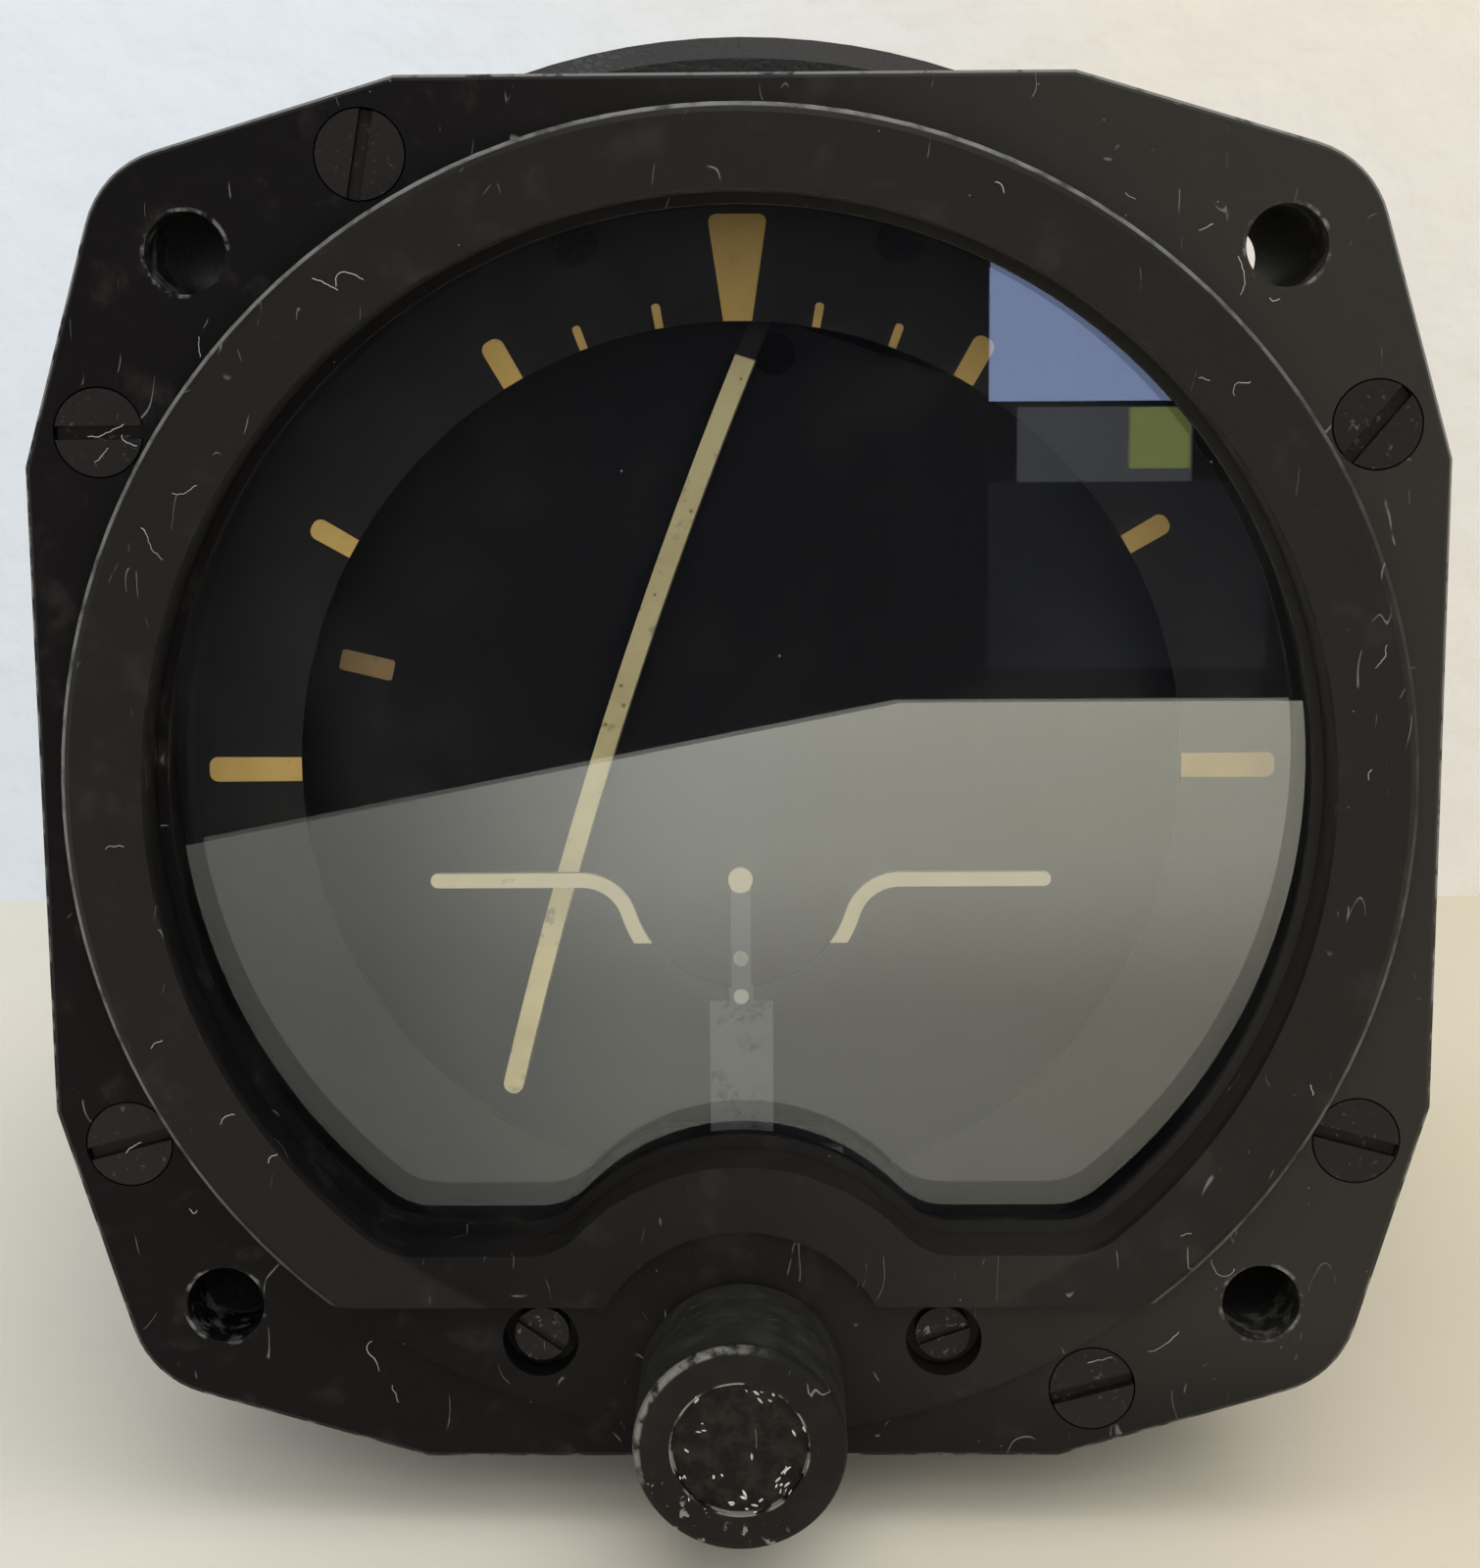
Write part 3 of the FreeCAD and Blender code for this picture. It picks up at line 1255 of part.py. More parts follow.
def make_idler_gear():
    """Gear between the pinion and the rack."""
    bore = (S.idler_pin_radius + S.fit).value
    gear = gear_solid(S.idler_teeth.value, idler_phase(), bore, S.gear_front, S.gear_thickness)
    return keep(solid_group("idler_gear", [gear]), idler_frame)


def rack_points(top, bottom, back):
    """Outline of the rack beside the idler: its teeth point to the left."""
    pitch = S.gear_module * math.pi
    beyond = (idler_phase() - S.idler_teeth.value / 4) % 1.0
    first = idler_height - pitch * beyond + pitch * 0.5
    root_x = idler_pitch + S.gear_module * 1.1
    tip_x = idler_pitch - S.gear_module * 0.75
    root_half = pitch / 4 + S.gear_module * 0.32
    tip_half = pitch / 4 - S.gear_module * 0.36
    lowest = int((first - bottom - root_half).value / pitch.value)
    highest = int((top - first - root_half).value / pitch.value)
    points = [(back, top), (back, bottom), (root_x, bottom)]
    for tooth in range(-lowest, highest + 1):
        centre = first + pitch * tooth
        points += [(root_x, centre - root_half), (tip_x, centre - tip_half)]
        points += [(tip_x, centre + tip_half), (root_x, centre + root_half)]
    return points + [(root_x, top)]


def make_aircraft_slide():
    """Post of the aircraft symbol: a flat plate with a rack on its leg."""
    body = new_body("aircraft_slide")
    plate = new_sketch(body, "XZ_Plane", -S.plate_front)
    stem, post, back = S.stem_half, S.post_half, S.rack_back
    shoulder = S.hump_radius - S.knob_drop - 1.9
    bottom = idler_height - S.rise - 1.1
    inner = idler_pitch - 0.3
    foot = -(S.knob_drop - S.shaft_radius - 1.4)
    tongue = -(S.stem_rivet_upper - 0.8)
    polygon(plate, [(-post, -S.post_top), (-post, foot), (post, foot), (post, shoulder - 3),
                    (inner, shoulder - 3), (inner, bottom), (back, bottom), (back, shoulder),
                    (post, shoulder), (post, -S.post_top), (stem, -S.post_top), (stem, tongue),
                    (-stem, tongue), (-stem, -S.post_top)])
    for drop in (S.stem_rivet_upper, S.stem_rivet_lower):
        circle(plate, 0, -drop, S.rivet_radius)
    pad_back(body, plate, S.plate_thickness)
    rack = new_sketch(body, "XZ_Plane", -(S.plate_front + S.plate_thickness / 2))
    polygon(rack, rack_points(idler_height + 2.0, bottom, back))
    pad_back(body, rack, S.gear_front + S.gear_thickness - S.plate_front - S.plate_thickness / 2)
    return keep(body)


def make_aircraft_symbol():
    """Wings joined by a hoop under the centre dot, with a narrow stem down to the slide."""
    drop = -S.symbol_drop.value
    hoop, bend, half = S.hoop_radius.value, S.wing_bend.value, S.wing_width.value / 2
    thickness = S.symbol_thickness.value
    front = S.plate_front.value - thickness
    dot = V(0, front, drop)
    centre = V(math.sqrt((hoop + bend) ** 2 - bend ** 2), front, drop - bend)
    joint = dot + (centre - dot).normalize() * hoop
    shoulder = V(centre.x, front, drop)
    middle = centre + ((joint - centre).normalize() + V(0, 0, 1)).normalize() * bend
    tip = V(S.wing_span_half.value - half, front, drop)

    def mirror(point):
        return V(-point.x, point.y, point.z)

    path = Part.Wire([
        Part.LineSegment(mirror(tip), mirror(shoulder)).toShape(),
        Part.Arc(mirror(shoulder), mirror(middle), mirror(joint)).toShape(),
        Part.Arc(mirror(joint), dot - V(0, 0, hoop), joint).toShape(),
        Part.Arc(joint, middle, shoulder).toShape(),
        Part.LineSegment(shoulder, tip).toShape()])
    strip = Part.Face(path.makeOffset2D(half)).extrude(V(0, thickness, 0))
    stem_half = S.stem_half.value
    stem_end = drop - hoop - 0.9
    stem = Part.makeBox(2 * stem_half, thickness, drop - stem_end, V(-stem_half, front, stem_end))
    disc = Part.makeCylinder(S.dot_radius.value, thickness, dot, V(0, 1, 0))
    shape = strip.fuse([stem, disc]).removeSplitter()
    for rivet in (S.stem_rivet_upper, S.stem_rivet_lower):
        hole = V(0, front - 1, -rivet.value)
        shape = shape.cut(Part.makeCylinder(S.rivet_radius.value, thickness + 2, hole, V(0, 1, 0)))
    return keep(solid_group("aircraft_symbol", [shape]))


def make_aircraft_rivets():
    """Two rivets that hold the symbol to its slide."""
    front = S.plate_front - S.symbol_thickness
    rivets = []
    for drop in (S.stem_rivet_upper, S.stem_rivet_lower):
        shank = rod(S.rivet_radius, front, S.plate_front + S.plate_thickness, 0, -drop)
        head = rod(S.rivet_radius + 0.12, front - 0.15, front, 0, -drop)
        rivets.append(join([shank, head]))
    return keep(join(rivets, "aircraft_rivets"))


# ---------------------------------------------------------------- roll gimbal and dial

def ball_bearing(label, inner, outer, width):
    """Shielded ball bearing about the Y axis, its front face at y = 0, as one ring."""
    inner, outer, width = as_size(inner), as_size(outer), as_size(width)
    band = (outer - inner) / 4
    sunk = width * 0.08
    return turned(label, [(inner, 0), (outer, 0), (outer, width), (outer - band, width),
                          (outer - band, width - sunk), (inner, width - sunk)])


def make_roll_gimbal():
    """Closed frame round the gyro, with a nose for the disc and a collar for the shaft."""
    body = new_body("gimbal_frame")
    bar, half = S.frame_bar, frame_half_width
    frame = new_sketch(body, "XY_Plane", -S.frame_half_height)
    polygon(frame, [(-S.frame_front_half, S.frame_front), (S.frame_front_half, S.frame_front),
                    (half, S.frame_shoulder), (half, frame_end - bar), (S.frame_taper, frame_end),
                    (-S.frame_taper, frame_end), (-half, frame_end - bar), (-half, S.frame_shoulder)])
    front = S.frame_front + bar
    back = frame_end - bar
    narrow = S.frame_front_half - bar * 0.6
    polygon(frame, [(-narrow, front), (narrow, front), (half - bar, S.frame_shoulder + 2),
                    (half - bar, back - 2), (S.frame_taper - 1, back), (-S.frame_taper + 1, back),
                    (-half + bar, back - 2), (-half + bar, S.frame_shoulder + 2)])
    feature(body, "Pad", frame, Length=S.frame_half_height * 2, Reversed=False)
    axis_y = S.pitch_axis
    bosses = [rod(S.pitch_boss_radius, half - bar, half, axis_y, 0, "x"),
              rod(S.pitch_boss_radius, -half, bar - half, axis_y, 0, "x")]
    nose = rod(S.disc_hub_radius, S.disc_front + S.disc_thickness, S.frame_front + 1)
    collar = rod(S.roll_collar_radius, back, frame_end + 2)
    tools = [rod(S.roll_shaft_radius + 0.02, back - 1, frame_end + 3)]
    tools.append(rod(S.bearing_outer, half - bar - 1, half + 1, axis_y, 0, "x"))
    tools.append(rod(S.bearing_outer, -half - 1, bar - half + 1, axis_y, 0, "x"))
    tools.append(rod(S.pivot_screw_radius, half - bar - 1, half + 1, bar_pivot, 0, "x"))
    tools.append(arc_slot(half - bar - 1, half + 1))
    return keep(cut(join([body, *bosses, nose, collar]), tools, "roll_gimbal"), roll_frame)


def arc_slot(start, end):
    """Curved slot that lets the guide pin swing through the right side of the frame."""
    half_slot = S.guide_pin_radius + S.guide_play
    sweep = S.pitch_limit * 2 + 20
    sectors = []
    for radius, spread in ((S.guide_radius + half_slot, 0), (S.guide_radius - half_slot, 1)):
        sector = rod(radius, as_size(start) - spread, as_size(end) + spread, S.pitch_axis, 0, "x")
        bind(sector, "Angle", sweep + 20 * spread)
        lean = (sweep + 20 * spread).value / 2
        tilt = Rotation(V(1, 0, 0), 180 - lean)
        sector.Placement = Placement(sector.Placement.Base, tilt.multiply(sector_turn()))
        sectors.append(sector)
    return cut(sectors[0], [sectors[1]])


def sector_turn():
    """Lay a cylinder's axis along X with the start of its angle along Y."""
    return Rotation(V(0, 1, 0), V(0, 0, 1), V(1, 0, 0), "ZXY")


def make_roll_shaft():
    """Stepped shaft from the gimbal's collar through both roll bearings."""
    radius = S.roll_shaft_radius
    start = frame_end - S.frame_bar
    shoulder = bulkhead_front - 1.5
    shaft = turned("roll_shaft", [(0, start), (radius, start), (radius, shoulder), (radius + 1, shoulder),
                                  (radius + 1, bulkhead_front - S.gap),
                                  (radius, bulkhead_front - S.gap),
                                  (radius, roll_shaft_end - 0.5), (radius - 0.5, roll_shaft_end),
                                  (0, roll_shaft_end)])
    return keep(shaft, roll_frame)


def make_background_disc():
    """Thin disc behind the horizon bar, flat on the side where the bar's arm passes."""
    back = S.disc_front + S.disc_thickness
    disc = rod(S.disc_radius, S.disc_front, back)
    side = block(S.disc_flat, S.disc_radius + 1, S.disc_front - 1, back + 1,
                 -S.disc_radius, S.disc_radius)
    return keep(cut(disc, [side], "background_disc"), roll_frame)


def make_slip_rings():
    """Contact rings on the roll shaft, with a groove for each brush."""
    start = frame_end + 2 + S.gap
    pitch = S.slip_length / 5
    outer, groove = S.slip_radius, S.slip_radius - 0.4
    points = [(S.roll_shaft_radius + 0.02, start), (outer, start)]
    for ring in (0, 2):
        near = start + pitch * (ring + 0.75)
        far = start + pitch * (ring + 1.25)
        points += [(outer, near), (groove, near), (groove, far), (outer, far)]
    points += [(outer, start + S.slip_length), (S.roll_shaft_radius + 0.02, start + S.slip_length)]
    return keep(turned("slip_rings", points), roll_frame)


def make_brush_block():
    """Insulating block on the bulkhead with a brush over each slip ring."""
    start = frame_end + 2 + S.gap
    pitch = S.slip_length / 5
    foot = S.slip_radius + 3
    holder = block(-4.0, as_size(4.0), start, bulkhead_front, foot, foot + 8)
    brushes = [rod(0.35, S.slip_radius + S.gap, foot + 0.5, 0, start + pitch * (ring + 1), "z")
               for ring in (0, 2)]
    return keep(join([holder, *brushes], "brush_block"))


def make_roll_bearings():
    """Two bearings in the bulkhead's hub."""
    rear = bulkhead_front + S.hub_length - S.roll_bearing_width
    for label, start in (("roll_bearing_front", bulkhead_front), ("roll_bearing_rear", rear)):
        bearing = ball_bearing(label, S.roll_shaft_radius + S.fit, S.roll_bearing_outer, S.roll_bearing_width)
        keep(bearing, Placement(V(0, start.value, 0), Rotation()))


def make_pitch_bearings():
    """One bearing in each side of the gimbal frame."""
    inset = (S.frame_bar - S.small_bearing_width) / 2
    start = frame_half_width - S.frame_bar + inset
    for label, side in (("pitch_bearing_right", 1), ("pitch_bearing_left", -1)):
        bearing = ball_bearing(label, S.pivot_radius + S.fit, S.bearing_outer, S.small_bearing_width)
        seat = Placement(V(side * start.value, S.pitch_axis.value, 0), Rotation(V(0, 0, 1), -90 * side))
        keep(bearing, roll_frame.multiply(seat))


def make_bar_pivot_screw():
    """Shoulder screw on which the bar's arm turns."""
    half, bar = frame_half_width, S.frame_bar
    head = arm_outer + S.arm_thickness + S.gap
    shank = rod(S.pivot_screw_radius, half - bar, head + 0.5, bar_pivot, 0, "x")
    cap = rod(S.pivot_head_radius, head, head + 1.0, bar_pivot, 0, "x")
    slot = block(head + 0.6, head + 1.5, bar_pivot - 3, bar_pivot + 3, -0.3, as_size(0.3))
    return keep(cut(join([shank, cap]), [slot], "bar_pivot_screw"), roll_frame)


# ---------------------------------------------------------------- horizon bar

def make_horizon_bar_arm():
    """Flat arm from its pivot forward past the frame and the disc, with the guide slot."""
    body = new_body("arm_blank")
    strip = new_sketch(body, "XY_Plane", -S.arm_half_height)
    thick = S.arm_thickness
    front = -(bar_reach + S.bar_thickness / 2)
    bend_front = S.arm_bend_front - bar_pivot
    bend_back = S.arm_bend_back - bar_pivot
    inner, outer = arm_inner, arm_outer
    polygon(strip, [(outer, S.arm_tail), (outer, bend_back), (inner, bend_front), (inner, front),
                    (inner + thick, front), (inner + thick, bend_front), (outer + thick, bend_back),
                    (outer + thick, S.arm_tail)])
    feature(body, "Pad", strip, Length=S.arm_half_height * 2, Reversed=False)
    lever = bar_pivot - S.pitch_axis
    slot_half = S.guide_pin_radius + S.guide_play
    near = -(lever + S.guide_radius * cosine(S.pitch_limit) - S.guide_pin_radius - 0.6)
    far = -(lever + S.guide_radius + S.guide_pin_radius + 0.6)
    slot = block(outer - 1, outer + thick + 1, far, near, -slot_half, slot_half)
    pivot = rod(S.pivot_screw_radius + S.fit, outer - 1, outer + thick + 1, 0, 0, "x")
    return keep(cut(body, [slot, pivot], "horizon_bar_arm"), bar_frame)


def make_horizon_bar():
    """Slightly bowed bar across the dial, with a rounded free end."""
    half = S.bar_width / 2
    near = -(bar_reach + S.bar_thickness / 2)
    far = near + S.bar_thickness
    span = (S.bar_left + S.bar_right) / 2
    bend = (span * span + S.bar_bow * S.bar_bow) / (S.bar_bow * 2)
    middle = S.bar_right - span
    centre = S.bar_bow - bend
    outer = rod(bend + half, near, far, middle, centre)
    inner = rod(bend - half, as_size(near) - 1, as_size(far) + 1, middle, centre)
    side = S.bar_bow + S.bar_width * 2
    strip = overlap([cut(outer, [inner]), block(half - S.bar_left, arm_inner, near, far, -side, side)])
    reach = middle + S.bar_left - half
    end = rod(half, near, far, half - S.bar_left, centre + leg(bend, reach))
    return keep(join([strip, end], "horizon_bar"), bar_frame)


def make_bar_counterweight():
    """Small round weight on the arm's tail."""
    start = arm_outer + S.arm_thickness
    middle = S.arm_tail - S.weight_radius
    end = start + S.weight_length
    weight = rod(S.weight_radius, start, end, middle, 0, "x")
    slot = block(end - 0.4, end + 1, middle - S.weight_radius, middle + S.weight_radius, -0.3, as_size(0.3))
    return keep(cut(weight, [slot], "bar_counterweight"), bar_frame)


# ---------------------------------------------------------------- gyro

def ears(bottom, top):
    """Four screw ears round the housing."""
    places = post_places(ear_circle, 45)
    return [rod(S.ear_radius, bottom, top, x, y, "z") for x, y in places]


def ear_holes(bottom, top):
    """Holes of the cap screws."""
    places = post_places(ear_circle, 45)
    return [rod(S.cap_screw_radius, bottom, top, x, y, "z") for x, y in places]


def shell_outline(sign, split):
    """Half section of one end of the housing, from its outside to its bearing pocket."""
    radius, half, wall = S.housing_radius, S.housing_half, S.housing_wall
    pocket = S.bearing_outer
    floor = half - wall - S.wall * 0.36
    points = [(0, half), (radius - wall, half), (radius, half - wall), (radius, split * sign),
              (radius - wall, split * sign), (radius - wall, half - wall), (S.bearing_boss, half - wall),
              (S.bearing_boss, floor - S.small_bearing_width - 0.5),
              (pocket, floor - S.small_bearing_width - 0.5), (pocket, floor), (0, floor)]
    return [(x, as_size(y) * sign) for x, y in points]


def make_gyro_housing():
    """Lower part of the sealed gyro housing, with its side pads and pitch pivots."""
    cup = turned("housing_cup", shell_outline(-1, S.housing_split), "XZ_Plane")
    pads, pivots, tools = [], [], []
    inner = S.housing_radius - S.housing_wall
    for side in (-1, 1):
        ends = sorted([pad_front * side, (inner - 3) * side], key=float)
        pads.append(block(ends[0], ends[1], -S.pad_half_width, S.pad_half_width,
                          -S.pad_half_height, S.pad_half_height))
        ends = sorted([(pad_front - 1) * side, frame_half_width * side], key=float)
        pivots.append(rod(S.pivot_radius, ends[0], ends[1], 0, 0, "x"))
    tools.append(rod(inner, -S.pad_half_height - 1, S.pad_half_height + 1, 0, 0, "z"))
    trimmed = cut(join(pads), tools)
    pin_hole = rod(S.guide_pin_radius, pad_front - 2, pad_front + 1, -S.guide_radius, 0, "x")
    body = join([cup, trimmed, *pivots, *ears(S.housing_split - 3, S.housing_split)])
    holes = ear_holes(S.housing_split - 4, S.housing_split + 1)
    return keep(cut(body, [pin_hole, *holes], "gyro_housing"), gyro_frame)


def make_gyro_housing_cap():
    """Upper part of the gyro housing."""
    cup = turned("cap_cup", shell_outline(1, S.housing_split), "XZ_Plane")
    body = join([cup, *ears(S.housing_split, S.housing_split + 2.5)])
    holes = ear_holes(S.housing_split - 1, S.housing_split + 4)
    return keep(cut(body, holes, "gyro_housing_cap"), gyro_frame)


def make_cap_screws():
    """Four screws through the housing's ears."""
    screws = []
    top = S.housing_split + 2.5
    for x, y in post_places(ear_circle, 45):
        shank = rod(S.cap_screw_radius, S.housing_split - 2.8, top, x, y, "z")
        head = rod(S.cap_screw_radius + 0.7, top, top + 1.0, x, y, "z")
        screws.append(join([shank, head]))
    return keep(join(screws, "cap_screws"), gyro_frame)


def make_guide_pin():
    """Pin that carries the housing's pitch out to the bar's arm."""
    start = pad_front - 2
    end = arm_outer + S.arm_thickness + 0.5
    pin = rod(S.guide_pin_radius, start, end, -S.guide_radius, 0, "x")
    collar = rod(S.guide_pin_radius + 0.5, pad_front, pad_front + 0.5, -S.guide_radius, 0, "x")
    return keep(join([pin, collar], "guide_pin"), gyro_frame)


def make_spin_bearings():
    """One bearing at each end of the rotor shaft."""
    floor = S.housing_half - S.housing_wall - S.wall * 0.36
    for label, sign in (("spin_bearing_upper", 1), ("spin_bearing_lower", -1)):
        bearing = ball_bearing(label, S.pivot_radius + S.fit, S.bearing_outer, S.small_bearing_width)
        base = V(0, 0, sign * (floor - S.small_bearing_width).value)
        keep(bearing, gyro_frame.multiply(Placement(base, Rotation(V(1, 0, 0), 90 * sign))))


def make_stator():
    """Winding block of the spin motor, on the lower bearing boss."""
    bottom = -(S.housing_half - S.housing_wall)
    inner = S.bearing_boss + 0.05
    outer = rotor_radius - S.rotor_rim - S.stator_clearance
    top = S.rotor_half - S.rotor_web - S.stator_clearance
    flange = S.housing_wall
    stator = turned("stator", [(inner, bottom), (outer, bottom), (outer, bottom + flange),
                               (outer - 1.2, bottom + flange), (outer - 1.2, -S.rotor_half),
                               (outer, -S.rotor_half), (outer, top), (inner, top)], "XZ_Plane")
    return keep(stator, gyro_frame)


def make_rotor():
    """Bell rotor: a heavy rim round the stator, a web above it and a long hub."""
    half, web = S.rotor_half, S.rotor_web
    inner = rotor_radius - S.rotor_rim
    bore = S.pivot_radius + 0.01
    rotor = turned("rotor", [(bore, 1), (S.rotor_hub, 1), (S.rotor_hub, half - web),
                             (inner, half - web), (inner, -half), (rotor_radius - 0.6, -half),
                             (rotor_radius, 0.6 - half), (rotor_radius, half - 0.6),
                             (rotor_radius - 0.6, half), (S.rotor_hub, half),
                             (S.rotor_hub, half + 3), (bore, half + 3)], "XZ_Plane")
    return keep(rotor, gyro_frame)


def make_rotor_shaft():
    """Spin shaft between the two spin bearings."""
    end = S.housing_half - S.housing_wall - S.wall * 0.36 - S.gap
    edge = 0.4
    shaft = turned("rotor_shaft", [(0, -end), (S.pivot_radius - edge, -end), (S.pivot_radius, edge - end),
                                   (S.pivot_radius, end - edge), (S.pivot_radius - edge, end),
                                   (0, end)], "XZ_Plane")
    return keep(shaft, gyro_frame)


# ---------------------------------------------------------------- build, check, write

MAKERS = [
    make_bezel, make_bezel_screws, make_bracket_screws, make_case_gasket, make_window_glass,
    make_glass_gasket, make_spacer_ring, make_mask_ring, make_mask_carrier, make_mask_screws,
    make_case_body, make_rear_bulkhead, make_bulkhead_screws, make_rear_cover,
    make_rear_cover_gasket, make_rear_cover_screws, make_connector_shell, make_connector_insert,
    make_connector_pins, make_connector_screws, make_knob, make_knob_set_screw, make_pinion_shaft,
    make_knob_spring_washer, make_knob_bushing, make_adjuster_bracket, make_bracket_spacers,
    make_idler_pin, make_idler_gear, make_aircraft_slide, make_aircraft_symbol,
    make_aircraft_rivets, make_roll_gimbal, make_roll_shaft, make_background_disc,
    make_slip_rings, make_brush_block, make_roll_bearings, make_pitch_bearings,
    make_bar_pivot_screw, make_horizon_bar_arm, make_horizon_bar, make_bar_counterweight,
    make_gyro_housing, make_gyro_housing_cap, make_cap_screws, make_guide_pin,
    make_spin_bearings, make_stator, make_rotor, make_rotor_shaft,
]

for make in MAKERS:
    make()
doc.recompute()

for item in doc.Objects:
    if "Invalid" in item.State or "Error" in item.State:
        raise RuntimeError(f"{item.Label} did not compute: {item.State}")
for item in pieces:
    if item.Shape.isNull() or not item.Shape.isValid() or not item.Shape.Solids:
        raise RuntimeError(f"{item.Label} has no valid solid")

os.makedirs("parts", exist_ok=True)
for item in pieces:
    item.Shape.exportStep(f"parts/{item.Label}.step")
print(len(pieces), "pieces written")
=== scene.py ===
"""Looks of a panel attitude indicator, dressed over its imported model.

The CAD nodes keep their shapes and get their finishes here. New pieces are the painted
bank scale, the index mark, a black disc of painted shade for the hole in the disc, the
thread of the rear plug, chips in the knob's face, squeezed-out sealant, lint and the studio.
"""

from __future__ import annotations

import json
import logging
import math
import random
from dataclasses import dataclass
from enum import Enum
from typing import Iterable, Mapping, Sequence, Union

import bmesh
import bpy
from mathutils import Matrix, Vector

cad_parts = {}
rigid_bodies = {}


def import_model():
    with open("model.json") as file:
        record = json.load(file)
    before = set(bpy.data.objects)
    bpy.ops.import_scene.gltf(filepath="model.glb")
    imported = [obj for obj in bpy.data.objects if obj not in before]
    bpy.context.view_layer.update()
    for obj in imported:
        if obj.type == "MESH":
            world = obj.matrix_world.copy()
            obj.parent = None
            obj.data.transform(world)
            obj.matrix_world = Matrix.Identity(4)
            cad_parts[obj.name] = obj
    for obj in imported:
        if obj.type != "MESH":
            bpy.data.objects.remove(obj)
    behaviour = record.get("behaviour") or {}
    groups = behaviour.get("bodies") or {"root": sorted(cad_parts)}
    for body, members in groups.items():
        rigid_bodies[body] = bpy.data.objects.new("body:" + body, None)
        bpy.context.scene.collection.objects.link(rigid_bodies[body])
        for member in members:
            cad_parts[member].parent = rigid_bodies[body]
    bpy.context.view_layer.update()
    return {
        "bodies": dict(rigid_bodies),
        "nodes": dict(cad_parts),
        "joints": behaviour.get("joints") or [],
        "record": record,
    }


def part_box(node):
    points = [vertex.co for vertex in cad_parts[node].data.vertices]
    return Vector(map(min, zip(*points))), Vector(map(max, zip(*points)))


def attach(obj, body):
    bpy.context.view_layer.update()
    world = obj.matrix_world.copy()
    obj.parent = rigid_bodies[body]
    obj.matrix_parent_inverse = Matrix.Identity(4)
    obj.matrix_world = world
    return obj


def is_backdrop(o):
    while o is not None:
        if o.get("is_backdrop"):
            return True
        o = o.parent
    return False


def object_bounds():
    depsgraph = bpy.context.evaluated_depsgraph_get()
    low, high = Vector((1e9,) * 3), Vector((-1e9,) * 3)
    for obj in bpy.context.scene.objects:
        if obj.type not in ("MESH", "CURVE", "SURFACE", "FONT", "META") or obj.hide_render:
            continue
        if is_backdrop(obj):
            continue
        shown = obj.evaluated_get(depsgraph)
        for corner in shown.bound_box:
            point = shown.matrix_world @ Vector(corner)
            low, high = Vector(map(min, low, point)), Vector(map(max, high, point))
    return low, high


log = logging.getLogger("attitude_indicator")

MM = 0.001
TINY = 1e-5
Colour = tuple[float, float, float]
Socket = bpy.types.NodeSocket
Node = bpy.types.Node
Vert = bmesh.types.BMVert
Edge = bmesh.types.BMEdge
Verts = Iterable[Vert]


# ------------------------------------------------------------------ shader expressions


class Shade:
    """One number that changes over a surface, written with ordinary operators."""

    def __init__(self, graph: Graph, socket: Socket) -> None:
        """Wrap a node's output socket."""
        self.graph = graph
        self.socket = socket

    def _math(self, operation: str, *values: Value) -> Shade:
        """Result of a Math node with these inputs."""
        node = self.graph.add("ShaderNodeMath", {"operation": operation}, dict(enumerate(values)))
        return Shade(self.graph, node.outputs[0])

    def __add__(self, other: Value) -> Shade:
        """Sum."""
        return self._math("ADD", self, other)

    __radd__ = __add__

    def __sub__(self, other: Value) -> Shade:
        """Difference."""
        return self._math("SUBTRACT", self, other)

    def __rsub__(self, other: Value) -> Shade:
        """Difference, the other way round."""
        return self._math("SUBTRACT", other, self)

    def __mul__(self, other: Value) -> Shade:
        """Product."""
        return self._math("MULTIPLY", self, other)

    def __pow__(self, other: Value) -> Shade:
        """Power."""
        return self._math("POWER", self, other)

    def __abs__(self) -> Shade:
        """Size without sign."""
        return self._math("ABSOLUTE", self)

    def root(self) -> Shade:
        """Square root."""
        return self._math("SQRT", self)

    def at_least(self, other: Value) -> Shade:
        """Greater of the two."""
        return self._math("MAXIMUM", self, other)

    def rise(self, low: float, high: float) -> Shade:
        """Smooth step from 0 at low to 1 at high, or a falling one when low is the greater."""
        turned = low > high
        ends = (high, low) if turned else (low, high)
        node = self.graph.add("ShaderNodeMapRange", {"interpolation_type": "SMOOTHSTEP"},
                              {"Value": self, "From Min": ends[0], "From Max": ends[1]})
        step = Shade(self.graph, node.outputs["Result"])
        return 1.0 - step if turned else step


Value = Union[Shade, float, int]
Link = Union[Shade, Socket, float, int, Sequence[float]]


